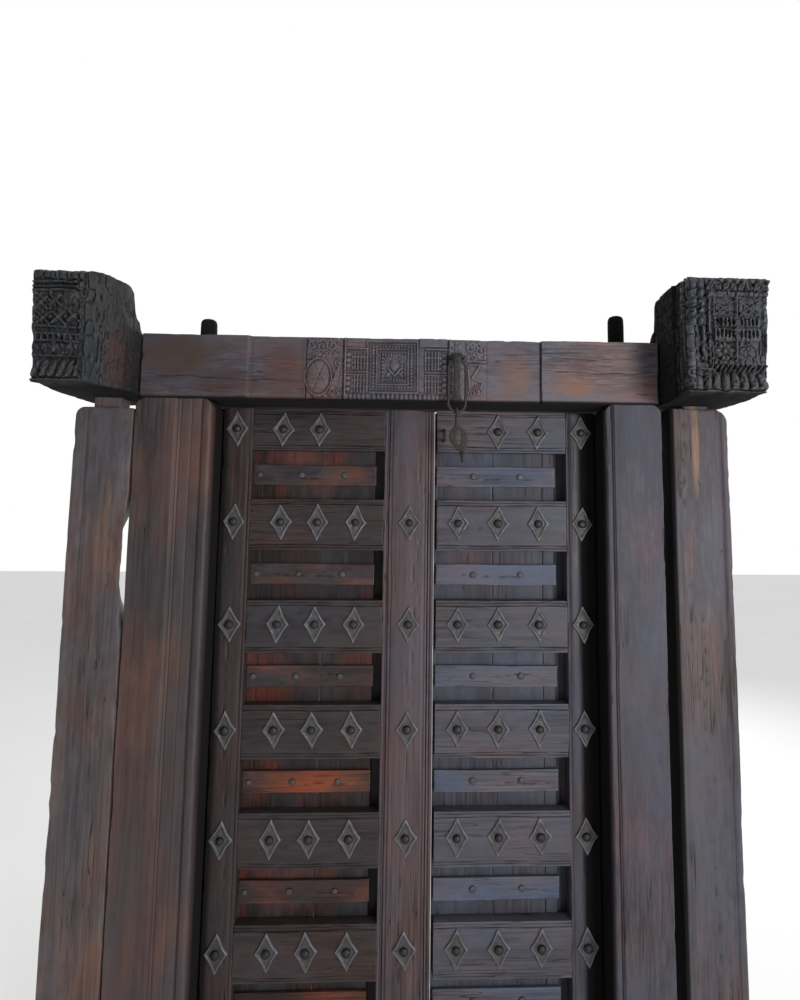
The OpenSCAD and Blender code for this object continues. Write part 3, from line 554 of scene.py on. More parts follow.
# painted shade: the right inner jamb goes near black towards its back, deep in the doorway
JAMB_RIGHT_WOOD = timber("right_jamb_timber", "z", (0.024, 0.019, 0.021), (0.050, 0.042, 0.047),
                         (0.115, 0.100, 0.113), patch=(0.082, 0.050, 0.052), patch_share=0.5,
                         dust_and_sheen=BLUE_DUST_AND_SHEEN, dust_and_sheen_share=0.5, rough=0.56,
                         painted_shade=[(1, -0.088, -0.070, 0.95)], mottle=3.0, seed=7)
OUTER_WOOD = timber("outer_jamb_timber", "z", (0.024, 0.016, 0.014), (0.076, 0.052, 0.045),
                    (0.160, 0.125, 0.112), patch=(0.150, 0.085, 0.042), patch_share=0.45,
                    dust_and_sheen=(0.12, 0.125, 0.15), dust_and_sheen_share=0.5, tint=0.8, seed=8)
# painted shade: the right outer jamb goes near black on its side that faces the doorway
OUTER_RIGHT_WOOD = timber("right_outer_timber", "z", (0.030, 0.022, 0.021),
                          (0.066, 0.054, 0.054), (0.150, 0.130, 0.132), dust_and_sheen=BLUE_DUST_AND_SHEEN,
                          dust_and_sheen_share=0.5, painted_shade=[(0, 0.756, 0.749, 0.97)],
                          stains=[(0.813, 1.90, 0.013, 0.16, (0.30, 0.165, 0.100)),
                                  (0.790, 1.60, 0.020, 0.10, (0.095, 0.052, 0.045)),
                                  (0.845, 1.30, 0.025, 0.16, (0.100, 0.058, 0.048))],
                          mottle=1.6, seed=17)
# painted shade: the right corbel is laid near black on its underside and darkens towards its back
CORBEL_WOOD = timber("corbel_timber", "z", (0.010, 0.0105, 0.0115), (0.034, 0.035, 0.039),
                     (0.125, 0.128, 0.140), dust_and_sheen=(0.065, 0.072, 0.086), dust_and_sheen_share=0.6,
                     rough=0.55, painted_shade=UNDERSIDE_SHADE + [(1, -0.255, -0.205, 0.86)], seed=9)
# painted shade: the left corbel is laid near black on its underside and darkens part way towards
# its back
CORBEL_LEFT_WOOD = timber("left_corbel_timber", "z", (0.007, 0.007, 0.007),
                          (0.019, 0.018, 0.018), (0.080, 0.080, 0.086),
                          patch=(0.036, 0.014, 0.012), patch_share=0.3,
                          dust_and_sheen=(0.040, 0.050, 0.056), dust_and_sheen_share=0.5, rough=0.55,
                          painted_shade=UNDERSIDE_SHADE + [(1, -0.24, -0.12, 0.5)],
                          stains=[(-0.775, 2.10, 0.022, 0.09, (0.052, 0.024, 0.021))], seed=16)
BOARD_LEFT_WOOD = timber("left_board_timber", "z", (0.006, 0.004, 0.004), (0.018, 0.010, 0.009),
                         (0.045, 0.028, 0.024), patch=(0.110, 0.026, 0.012), patch_share=0.6,
                         tint=0.9, seed=10)
BOARD_RIGHT_WOOD = timber("right_board_timber", "z", (0.014, 0.013, 0.015),
                          (0.036, 0.035, 0.043), (0.100, 0.098, 0.115),
                          patch=(0.070, 0.022, 0.020), patch_share=0.4, dust_and_sheen=BLUE_DUST_AND_SHEEN,
                          dust_and_sheen_share=0.6, seed=11)
BATTEN_LEFT_WOOD = timber("left_batten_timber", "x", (0.010, 0.006, 0.005),
                          (0.028, 0.015, 0.013), (0.066, 0.041, 0.035),
                          patch=(0.190, 0.056, 0.020), patch_share=0.7, tint=0.9, seed=12)
BATTEN_RIGHT_WOOD = timber("right_batten_timber", "x", (0.026, 0.027, 0.034),
                           (0.070, 0.074, 0.098), (0.160, 0.165, 0.200),
                           patch=(0.100, 0.050, 0.048), patch_share=0.45,
                           dust_and_sheen=(0.085, 0.105, 0.160), dust_and_sheen_share=0.6, tint=0.8, seed=13)
SILL_WOOD = timber("threshold_timber", "x", DARK, (0.048, 0.034, 0.027), (0.130, 0.095, 0.075),
                   dust_and_sheen=SILL_DUST, dust_and_sheen_share=0.5, seed=14)
PLATE_IRON = forged_iron("plate_iron", (0.040, 0.037, 0.040), (0.060, 0.042, 0.034), 0.5, 0.5,
                         0.35, seed=1)
NAIL_IRON = forged_iron("nail_iron", (0.016, 0.014, 0.014), (0.040, 0.026, 0.020), 0.6, 0.48,
                        0.4, seed=4)
CHAIN_IRON = forged_iron("chain_iron", (0.012, 0.011, 0.010), (0.030, 0.018, 0.012), 0.7, 0.6,
                         0.2, 0.06, seed=2)
HIDDEN_IRON = forged_iron("pivot_iron", (0.030, 0.027, 0.027), (0.06, 0.03, 0.02), 0.5, seed=3)


# ---------------------------------------------------------------- places from the frame

def corners(node):
    low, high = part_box(node)
    return np.array(low), np.array(high)


def islands(node):
    """(low, high) corners of each separate solid inside a CAD node."""
    mesh = NODES[node].data
    ids, places = {}, []
    own = []
    for v in mesh.vertices:
        key = tuple(round(c, 5) for c in v.co)
        if key not in ids:
            ids[key] = len(places)
            places.append(v.co.copy())
        own.append(ids[key])
    root = list(range(len(places)))

    def find(a):
        while root[a] != a:
            root[a] = root[root[a]]
            a = root[a]
        return a

    for poly in mesh.polygons:
        first = find(own[poly.vertices[0]])
        for v in poly.vertices[1:]:
            root[find(own[v])] = first
    groups = {}
    for i, place in enumerate(places):
        groups.setdefault(find(i), []).append(place)
    found = [(np.array(g).min(0), np.array(g).max(0)) for g in groups.values()]
    return sorted(found, key=lambda b: (-round(b[1][2], 3), b[0][0]))


def graded(low, high, step, zones=(), edge=(0.0014, 0.004)):
    """Grid lines at a coarse step, with finer (start, end, step) zones."""
    lines = []
    at = low + edge[-1]
    while at < high - edge[-1]:
        lines.append(at)
        here = [s for a, b, s in zones if a <= at < b]
        ahead = [a for a, b, s in zones if at < a < at + step]
        at = min(ahead) if ahead and not here else at + (here[0] if here else step)
    lines = [low, low + edge[0]] + lines + [high - edge[1], high - edge[0], high]
    kept = [lines[0]]
    for v in sorted(lines)[1:]:
        if v - kept[-1] > 0.0009:
            kept.append(v)
    kept[-1] = high
    return np.array(kept)


def hewn(points, amount, cell=(0.11, 0.11, 0.11), seed=0):
    """The slight unevenness of timber squared by hand."""
    for axis in range(3):
        points[:, axis] += amount * fbm(points, cell, 3, seed + 31 * axis)
    return points


def edge_radius(points, small, large, seed=0, cell=0.035):
    """Edges are crisp in places and knocked off in others."""
    n = fbm(points, (cell, cell, cell), 3, seed)
    return small + (large - small) * ramp(n, -0.05, 0.75)


def cut_away(obj, low, high, round_at=None):
    """Cuts a box, or a round hole where round_at gives (x, y, radius), out of a finished piece."""
    if round_at:
        x, y, r = round_at
        points, faces = lathe([(r, low[2]), (r, high[2])], 40, (x, y, 0))
    else:
        points, faces = block(*(np.array([low[i], high[i]]) for i in range(3)))
    mesh = bpy.data.meshes.new("cutter")
    mesh.from_pydata(np.asarray(points).tolist(), [], [[int(v) for v in f] for f in faces])
    cutter = bpy.data.objects.new("cutter", mesh)
    bpy.context.scene.collection.objects.link(cutter)
    cut = obj.modifiers.new("cut", "BOOLEAN")
    cut.operation = "DIFFERENCE"
    cut.solver = "MANIFOLD"
    cut.object = cutter
    bpy.context.view_layer.update()
    done = bpy.data.meshes.new_from_object(obj.evaluated_get(bpy.context.evaluated_depsgraph_get()))
    obj.modifiers.clear()
    if len(done.polygons):
        old, obj.data = obj.data, done
        bpy.data.meshes.remove(old)
    bpy.data.objects.remove(cutter)
    obj.data.set_sharp_from_angle(angle=math.radians(38))


# ---------------------------------------------------------------- lintel

def lintel_side_field(u, w, flip):
    """Foliage over a curled lobe; u runs from the field's outer edge, 0 to 109 mm."""
    relief = Relief(u, w)
    carve = relief.add
    if flip:
        tendrils = [(66, 158, 17, 1), (90, 152, 15, -1), (74, 134, 12, -1), (96, 172, 9, 1)]
        for i, (cu, cw, r, hand) in enumerate(tendrils):
            carve(curl, cu, cw, r, 5.5, 40 * i, 1.3, 0.24, hand)
        for i in range(7):
            carve(leaf, 54 + 8.5 * i, 172 - 5 * (i % 2), 5, 9, 5, 25 - 40 * (i % 2))
            carve(leaf, 56 + 8 * i, 133 + 4 * (i % 3), 4, 8, 4, -30 + 25 * (i % 3))
        carve(stroke, 50, 121, 106, 118, 2.6, 6)
        for u0, w0, u1, w1 in [(56, 108, 92, 110), (92, 110, 68, 72), (68, 72, 98, 58),
                               (56, 96, 60, 40), (98, 58, 84, 24)]:
            carve(stroke, u0, w0, u1, w1, 3.4, 5.5)
        carve(curl, 86, 36, 16, 6, 80, 1.5, 0.2)
        carve(curl, 66, 26, 11, 5, 200, 1.2, 0.24, -1)
        carve(beads, (8, 20), (8, 168), 9, 6, 4.5, 1.3)
        carve(plate, 18, 44, 12, 176, 2.5)
        carve(beads, (31, 26), (31, 164), 8, 7, 5.5, 1.1)
        return relief.height
    for i, (cu, cw, r, hand) in enumerate([(20, 160, 14, 1), (46, 156, 15, -1), (74, 160, 15, 1),
                                           (60, 136, 11, -1), (88, 138, 10, 1), (30, 138, 10, 1)]):
        carve(curl, cu, cw, r, 5.5, 55 * i, 1.3, 0.24, hand)
    for i in range(9):
        carve(leaf, 10 + 10 * i, 176 - 3 * (i % 2), 5, 8, 5, 30 - 60 * (i % 2))
        carve(leaf, 12 + 9.5 * i, 128 + 4 * (i % 2), 4, 8, 4.5, -35 + 30 * (i % 3))
    carve(stroke, 4, 123, 52, 119, 2.6, 6.5)
    lobe = oval(u, w, 36, 70, 32, 47, 9.5, -6)
    lobe -= 2.6 * np.exp(-((u - 18 - 0.42 * (w - 20)) / 2.6) ** 2) * (lobe > 0)
    lobe -= 2.0 * np.exp(-((u - 58 + 0.5 * (w - 40)) / 2.2) ** 2) * (lobe > 0)
    relief.over(lobe)
    carve(ring, 37, 68, 37, 53, 2.4, 6)
    for i in range(5):
        carve(stroke, 68 + 5 * i, 22 + 5 * i, 80 + 4.5 * i, 62 + 12 * i, 2.3, 6)
    for cu, cw, r, s in [(92, 108, 11, 0), (86, 84, 9, 120), (96, 26, 10, 240), (76, 16, 8, 60),
                         (30, 12, 9, 180), (54, 14, 8, 20)]:
        carve(curl, cu, cw, r, 5.5, s, 1.3, 0.26)
    return relief.height


def lintel_middle_field(u, w):
    """Columns of mouldings either side of nested squares; u runs 0 to 298 mm."""
    relief = Relief(u, w)
    carve = relief.add
    mid_u, mid_w = 137, 100
    for col, hand in ((0, 1), (298, -1)):
        at = lambda v: col + hand * v
        for level in (152, 84):
            carve(stroke, at(4), level, at(66), level, 3.0, 7)
            carve(stroke, at(4), level - 7, at(66), level - 7, 1.8, 4.5)
        for v in (30, 39, 48, 57, 66):
            carve(stroke, at(v), 92, at(v), 143, 2.4, 5.5)
            carve(stroke, at(v), 26, at(v), 72, 2.4, 5.5)
        for level in (134, 118, 102, 66, 50, 34):
            carve(oval, at(12), level, 8, 6.5, 6)
            carve(oval, at(24), level - 6, 4, 5, 5)
        for level in (128, 110, 60, 42):
            carve(stroke, at(28), level, at(68), level, 2.0, 5.8)
        for v in range(8, 70, 12):
            carve(leaf, at(v), 13, 6, 10, 6.5, 0)
    hu, hw = 72, 74
    for inset, half, high in ((0, 2.6, 6.5), (9, 1.6, 4.5), (27, 2.6, 6.0), (36, 2.0, 5.0)):
        carve(square_ring, mid_u, mid_w, hu - inset, hw - inset * 0.86, half, high)
    for inset, count in ((18, 13), (44, 8)):
        a, b = hu - inset, hw - inset * 0.86
        for s in (-1, 1):
            carve(beads, (mid_u + s * a, mid_w - b), (mid_u + s * a, mid_w + b), count, 3.7, 5.8,
                  1.15)
            carve(beads, (mid_u - a, mid_w + s * b), (mid_u + a, mid_w + s * b), count, 3.7, 5.8)
    for s in (-1, 1):
        carve(blossom, mid_u + 6 + s * 22, mid_w + 24, 12, 6, 6.5)
        carve(stroke, mid_u + 6 + s * 20, mid_w - 2, mid_u + 6, mid_w - 26, 3, 5.5)
        carve(leaf, mid_u + 6 + s * 18, mid_w - 22, 5, 11, 5, s * 40)
    carve(oval, mid_u + 6, mid_w + 6, 13, 17, 6.5)
    for v in range(86, 218, 13):
        carve(leaf, v, 12, 6, 11, 7, 0)
    carve(stroke, 76, 24, 222, 24, 1.8, 5)
    carve(plate, 214, 294, 158, 184, 6.5)
    return relief.height


def lintel_depth(x, z, bottom, carving, plain):
    """How far the lintel's face lies behind its proud ends, in metres."""
    u, w = (x - carving[0]) * 1000, (z - bottom) * 1000
    depth = 10 * window(x, plain[0][0], carving[0], 0.006) + 10.5 * window(x, *plain[1], 0.0012)
    depth += 1.6 * np.exp(-((x - plain[1][1] + 0.003) / 0.0022) ** 2)
    inside = window(x, carving[0], carving[3], 0.0016)
    field = [(c - carving[0]) * 1000 for c in carving]
    middle = window(x, carving[1], carving[2], 0.0014)
    rear = 8.2 * inside
    recess = 3.5 * window(u, 109 + 100, 109 + 176, 1.5) * window(w, 62, 140, 1.5)
    h = lintel_side_field(u, w, False) * (u < field[1])
    h = np.maximum(h, lintel_middle_field(u - field[1], w) * middle)
    h = np.maximum(h, lintel_side_field(u - field[2], w, True) * (u > field[2]))
    for c in field[1:3]:
        h = np.maximum(h, 6.5 * np.exp(-((u - c - 3) / 2.4) ** 4))
    for c in (field[0] + 1.5, field[1] - 3.5, field[2] - 3.0):
        rear = rear + 3.0 * np.exp(-((u - c) / 1.6) ** 2) * inside
    points = np.stack([x, np.zeros_like(x), z], 1)
    rubbed = 0.86 + 0.3 * fbm(points, (0.03, 1, 0.03), 3, 5)
    depth = depth + rear + recess - np.minimum(h * rubbed, 8.2) * inside
    depth += 1.1 * inside * (0.5 + 0.5 * fbm(points, (0.006, 1, 0.005), 2, 8))
    depth += crack(w, u, 60, -420, -60, 1.3, 3.2, 1) + crack(w, u, 118, -150, 20, 0.9, 2.0, 2)
    depth += crack(w, u, 92, 690, 1010, 1.2, 3.0, 3) + crack(w, u, 140, 520, 660, 0.9, 2.2, 4)
    return depth * MM


def build_lintel():
    low, high = corners("lintel")
    low[0], high[0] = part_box("corbel_left")[1].x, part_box("corbel_right")[0].x
    carving = (-0.301, -0.192, 0.106, 0.215)
    plain = ((-0.457, -0.301), (0.215, 0.373))
    xs = graded(low[0], high[0], 0.0075, [(-0.47, -0.445, 0.004), (-0.303, 0.217, 0.0021),
                                          (0.362, 0.380, 0.0016)])
    ys = graded(low[1], high[1], 0.022, [(low[1], low[1] + 0.012, 0.004)])
    zs = graded(low[2], high[2], 0.0024)
    points, faces = block(xs, ys, zs, "x")
    points = worn(points, low, high, edge_radius(points, 0.0018, 0.010, 3))
    depth = lintel_depth(points[:, 0], points[:, 2], low[2], carving, plain)
    points = press(points, depth + 0.0004, low[1], high[1])
    hewn(points, 0.0011, (0.16, 0.06, 0.06), 4)
    points = np.clip(points, low, high)
    obj = piece("carved_lintel", (points, faces), LINTEL_WOOD, "frame",
                ["lintel"])
    for side in ("left", "right"):
        shoe_low, shoe_high = corners(f"pivot_shoe_{side}")
        x, y = (shoe_low + shoe_high)[:2] / 2
        cut_away(obj, low - 0.01, high + 0.01, (x, y, 0.0285))


# ---------------------------------------------------------------- corbels

def right_corbel_front(a, w):
    """a runs from the doorway side outwards, 0 to 210 mm; w runs up from the underside."""
    relief = Relief(a, w)
    carve = relief.add
    carve(stroke, 4, 14, 4, 186, 5, 10)
    for column, r in ((9, 8.5), (29, 9.0)):
        carve(beads, (column, 192), (column, 292), 5, r, 10.5, 1.35)
        carve(stroke, column + 4, 88, column + 4, 182, 4.6, 9.5)
        carve(beads, (column + 1, 96), (column + 3, 138), 3, 6, 10, 1.2)
    carve(plate, 47, 207, 78, 262, 3.5)
    carve(stroke, 49, 80, 49, 258, 3.2, 9)
    carve(stroke, 59, 150, 59, 240, 2.4, 7)
    carve(plate, 46, 118, 256, 274, 9.5)
    carve(plate, 118, 208, 262, 274, 7.5)
    for i in range(8):
        carve(leaf, 52 + 21 * i, 290, 9.5, 17, 10.5, 34 if i % 2 else -34)
        carve(oval, 61 + 21 * i, 304, 7, 7, 9)
    for left, right in ((62, 116), (130, 184)):
        carve(stroke, left, 210, right, 248, 3.4, 8.5)
        carve(stroke, left, 248, right, 210, 3.4, 8.5)
        carve(leaf, (left + right) / 2, 244, 6, 9, 7.5, 0)
        carve(leaf, (left + right) / 2, 214, 6, 9, 7.5, 0)
    for row_low, row_high in ((180, 204), (148, 172)):
        carve(plate, 62, 186, row_low - 2, row_high + 2, 8.5)
        for i in range(5):
            for start in (70, 134):
                hole = oval(a, w, start + 10.5 * i, (row_low + row_high) / 2, 2.9,
                            (row_high - row_low) / 2.1, 9)
                sunk = np.maximum(relief.height - 1.6 * hole, 0)
                relief.height = np.where(hole > 0, sunk, relief.height)
    carve(stroke, 122, 80, 122, 258, 5.4, 9.5)
    carve(stroke, 64, 143, 184, 143, 2.6, 8)
    carve(blossom, 88, 112, 29, 9, 11.5, 12)
    carve(ring, 88, 112, 31, 29, 2.6, 8.5)
    carve(blossom, 152, 122, 17, 7, 9, 30)
    for i in range(4):
        carve(leaf, 134 + 13 * i, 94, 4.5, 8, 8.5, 25)
    carve(beads, (197, 182), (197, 252), 5, 7.5, 10, 1.2)
    for column in (186, 194, 202):
        carve(stroke, column, 104, column, 172, 2.8, 8.5)
    for i in range(12):
        carve(stroke, 46 + 13.5 * i, 60, 57 + 13.5 * i, 76, 3.2, 9.5)
    carve(stroke, 14, 68, 60, 64, 3.2, 9.5)
    for i in range(8):
        lean = 3 + 27 * max(0, (i - 3) / 4.0)
        carve(oval, 16 + 25 * i + 0.16 * lean, 33, 11.5, 27, 12.5, lean)
        carve(oval, 16 + 25 * i, 15, 7.5, 8, 12.5)
    carve(plate, -5, 215, -5, 5, 11, 2)
    return relief.height


def left_corbel_front(a, w):
    """The same idea on the more worn corbel; a runs from its outer edge, 0 to 187 mm."""
    relief = Relief(a, w)
    carve = relief.add
    for i in range(6):
        carve(plate, 6 + 27 * i, 28 + 27 * i, 272 - 2 * (i % 2), 291, 9, 2.5)
    for level, half, high in ((262, 3.5, 8.5), (250, 3, 8), (239, 3, 8)):
        carve(stroke, 4, level, 112 - 0.3 * (262 - level), level, half, high)
    carve(oval, 96, 222, 24, 20, 9.5, 15)
    carve(oval, 122, 252, 16, 14, 9)
    carve(blossom, 130, 214, 17, 7, 8.5)
    for cu, cw, r in ((24, 205, 15), (58, 212, 14), (30, 166, 15), (66, 168, 14), (104, 172, 14)):
        for s in (-1, 1):
            carve(stroke, cu - r, cw - s * r, cu + r, cw + s * r, 3.6, 9)
        carve(oval, cu, cw, 6, 6, 10)
    for cu in (8, 44, 84, 122):
        carve(beads, (cu, 150), (cu, 232), 5, 5.5, 7.5, 1.2)
    for level in (146, 128, 110):
        carve(stroke, 12, level, 124, level - 3, 3.2, 8.5)
    for i in range(9):
        carve(stroke, 14 + 14 * i, 113, 14 + 14 * i, 126, 3, 8)
    carve(stroke, 56, 82, 56, 108, 5, 10)
    for i in range(8):
        carve(leaf, 14 + 16 * i, 95, 6, 11, 8, 30 - 60 * (i % 2))
    carve(stroke, 6, 72, 128, 69, 3.2, 9)
    for i in range(6):
        carve(oval, 14 + 21 * i, 38, 9.5, 25, 11.5, -22)
        carve(oval, 8 + 21 * i, 21, 7, 7.5, 11.5)
    relief.height *= 1 - 0.6 * ramp(a, 124, 150)
    relief.over(9 * ramp(a, 132, 160))
    carve(plate, -5, 192, -5, 9, 11, 3)
    return relief.height


def right_corbel_side(b, w):
    """b runs back from the front, on the face that looks at the doorway."""
    relief = Relief(b, w)
    carve = relief.add
    carve(beads, (30, 190), (30, 288), 5, 9, 9, 1.3)
    carve(stroke, 30, 92, 30, 182, 4.6, 8)
    carve(stroke, 5, 26, 5, 186, 5, 9)
    carve(beads, (32, 36), (32, 84), 2, 11, 8, 1.5)
    carve(stroke, 54, 20, 54, 200, 4.2, 8)
    wave = 82 + 6 * np.sin(w / 9.5)
    relief.over(9 * np.sqrt(np.clip(1 - ((b - wave) / 8) ** 2, 0, 1)) * window(w, 20, 190, 5))
    relief.over(7.5 * ramp(b, 100, 106))
    for i in range(4):
        groove = 128 + 24 * i
        relief.height -= 2.2 * np.exp(-((b - groove - 3 * np.sin(w / 27 + i)) / 3.2) ** 2)
    carve(plate, -5, 110, -5, 8, 8, 2)
    return relief.height


def left_corbel_side(b, w):
    h = 6.5 + 1.5 * np.sin(b / 23.0) * np.sin(w / 37.0)
    for i in range(9):
        flute = 34 + 19 * i
        deep = 2.6 if i < 4 else 3.6
        h = h - deep * np.exp(-((b - flute - 3 * np.sin(w / 31 + i)) / 3.0) ** 2) \
            * window(w, 18 + 9 * (i % 3), 170 + 24 * math.sin(2 * i), 14)
    for i in range(12):
        h = np.maximum(h, oval(b, w, 60 + 53 * ((i * 7) % 5) / 2.5, 30 + 19 * i, 8, 5, 9, 25 * i))
    return np.maximum(h, plate(b, w, -5, 400, -5, 18, 8, 3))


def build_corbel(side, front, flank, material, seed):
    node = f"corbel_{side}"
    low, high = corners(node)
    beam = corners("lintel")[1][2]
    top = high[2]
    right = side == "right"
    head = 0.235 if right else 0.150
    reach = low[1] + np.array([0, .008, .024, .3 * head, .6 * head, .85 * head, head - .004,
                               head + .003, head + .020, head + .045, head + .049])
    crown = np.array([top - .012, top - .004, top - .001, top, top, top - .004, top - .012,
                      beam + .049, beam + .036, beam + .024, beam])
    xs = graded(low[0], high[0], 0.0024)
    ys = graded(low[1], high[1], 0.0085, [(low[1], low[1] + 0.112, 0.0032)])
    zs = graded(low[2], high[2], 0.0027)
    points, faces = block(xs, ys, zs, "z")
    points = worn(points, low, high, edge_radius(points, 0.002, 0.010, seed, 0.03))
    height = np.interp(points[:, 1], reach, crown) - low[2]
    points[:, 2] = low[2] + (points[:, 2] - low[2]) * height / (high[2] - low[2])
    up = (points[:, 2] - low[2]) * 1000
    rubbed = 0.84 + 0.34 * fbm(points, (0.022, 0.022, 0.022), 3, seed + 5)
    wide = 210 if right else 187
    a = (points[:, 0] - low[0]) / (high[0] - low[0]) * wide
    behind = (points[:, 1] - low[1]) * 1000
    inner, outer = (low[0], high[0]) if right else (high[0], low[0])
    # the outer side leans in towards the foot
    foot_taper = 0.018
    share = 1 - (points[:, 2] - low[2]) / (top - low[2])
    points[:, 0] += foot_taper * share * (inner - points[:, 0]) / abs(outer - inner)
    turn_in = 0
    if not right:
        # the doorway side of the left corbel slants in towards its front, round a soft corner
        kept = 118
        turn_in = 30 * ramp(a, 92, wide + 30) ** 1.5
        slant = 52 * (1 - ramp(behind, -60, 165)) / (1 - ramp(0, -60, 165))
        points[:, 0] -= slant * MM * np.clip((a - kept) / (wide - kept), 0, 1)
    grain = 1.6 * (0.5 + 0.5 * fbm(points, (0.0055, 0.0055, 0.011), 2, seed + 9))
    # small hollows left between carved parts that have worn away
    pits = 1 - np.abs(fbm(points, (0.015, 0.015, 0.019 if right else 0.045), 2, seed + 29))
    grain = grain + 4.0 * ramp(pits, 0.80, 1.0) * (0.4 + 0.6 * (up > 30))
    face_depth = (1.35 * (12.5 - np.minimum(front(a, up) * rubbed, 12.5)) + grain + turn_in) * MM
    face_depth += 9 * (1 - ramp(up, 0, 13)) * MM
    side_depth = (1.25 * (9 - np.minimum(flank(behind, up) * rubbed, 9)) + grain) * MM
    points[:, 1] += face_depth * (1 - 0.9 * ramp(behind, 0, 120)) * (1 - ramp(behind, 60, 260))
    way_out = 1 if right else -1
    points[:, 0] += way_out * side_depth * (1 - (points[:, 0] - inner) / (outer - inner))
    outer_depth = (1.5 + 3 * fbm(points, (0.02, 0.012, 0.03), 3, seed + 11)) * MM
    points[:, 0] -= way_out * outer_depth * ((points[:, 0] - inner) / (outer - inner)) ** 4
    lumps = (0.6 + 1.4 * fbm(points, (0.026, 0.026, 0.018), 3, seed + 13)) * MM
    points[:, 2] -= 3 * lumps * ramp(points[:, 2], high[2] - 0.07, high[2] - 0.02)
    # the underside rises a little towards the front, worn and split
    below = (1 - ramp(up, 0, 26)) * (1 - ramp(behind, 10, 130))
    points[:, 2] += below * (5 + 5 * fbm(points, (0.03, 0.05, 1), 3, seed + 23)) * MM
    hewn(points, 0.0022, (0.05, 0.05, 0.05), seed + 17)
    points = np.clip(points, low, high)
    piece(f"carved_corbel_{side}", (points, faces), material, "frame", [node], 50)


# ---------------------------------------------------------------- jambs and threshold

def plain_moulding(e):
    """The right inner jamb has only a bead and two fine lines along its doorway edge."""
    return (5.0 * (1 - ramp(e, 0, 7)) ** 2 + 3.6 * np.exp(-((e - 17.5) / 1.7) ** 2)
            + 2.6 * np.exp(-((e - 23.0) / 1.3) ** 2))


def moulding(e):
    """Depth in mm of the left jamb's moulded edge; e runs away from the doorway."""
    depth = 6.0 * (1 - ramp(e, 0, 8)) ** 2 + 2.5 * ramp(e, 15, 20) * (1 - ramp(e, 98, 102))
    for at, wide, deep in ((27.0, 2.6, 5.5), (56.0, 1.5, 1.8), (86.0, 1.6, 2.6), (94.0, 1.3, 2.2)):
        depth = depth + deep * np.exp(-((e - at) / wide) ** 2)
    return depth


def rounded(from_edge, radius):
    """How far a rounded corner of that radius lies below the top, so far from the edge."""
    inside = np.clip(radius - from_edge, 0, None)
    return radius - np.sqrt(np.clip(radius ** 2 - inside ** 2, 0, None))


def build_inner_jamb(side, material, seed):
    node = f"inner_jamb_{side}"
    low, high = corners(node)
    low[2], high[2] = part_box("threshold")[1].z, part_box("lintel")[0].z
    inner = high[0] if side == "left" else low[0]
    zone = (inner - 0.104, inner, 0.0027) if side == "left" else (inner, inner + 0.104, 0.0027)
    xs = graded(low[0], high[0], 0.0075, [zone])
    ys = graded(low[1], high[1], 0.016)
    zs = graded(low[2], high[2], 0.0085, [(high[2] - 0.05, high[2], 0.004)])
    points, faces = block(xs, ys, zs, "z")
    points = worn(points, low, high, edge_radius(points, 0.002, 0.012, seed, 0.06))
    e = np.abs(points[:, 0] - inner) * 1000
    w = (points[:, 2] - low[2]) * 1000
    depth = moulding(e) if side == "left" else plain_moulding(e)
    for i in range(4):
        u0 = 112 + 24 * i + 6 * math.sin(seed + 5 * i)
        depth += crack(e, w, u0, 200 + 390 * i - 330 * (i % 2), 900 + 380 * i, 1.1, 2.2, seed + i)
    depth += 1.2 * (0.5 + 0.5 * fbm(points, (0.012, 0.012, 0.10), 3, seed + 4))
    points = press(points, depth * MM, low[1], high[1])
    # the top corners of the timber are rounded off
    round_r, reach = 0.028, 0.075
    from_edge = np.minimum(points[:, 0] - low[0], high[0] - points[:, 0])
    drop = rounded(from_edge, round_r)
    points[:, 2] -= drop * ramp(points[:, 2], high[2] - reach, high[2])
    hewn(points, 0.0020, (0.09, 0.09, 0.35), seed)
    points = np.clip(points, low, high)
    piece(f"worn_inner_jamb_{side}", (points, faces), material, "frame", [node])


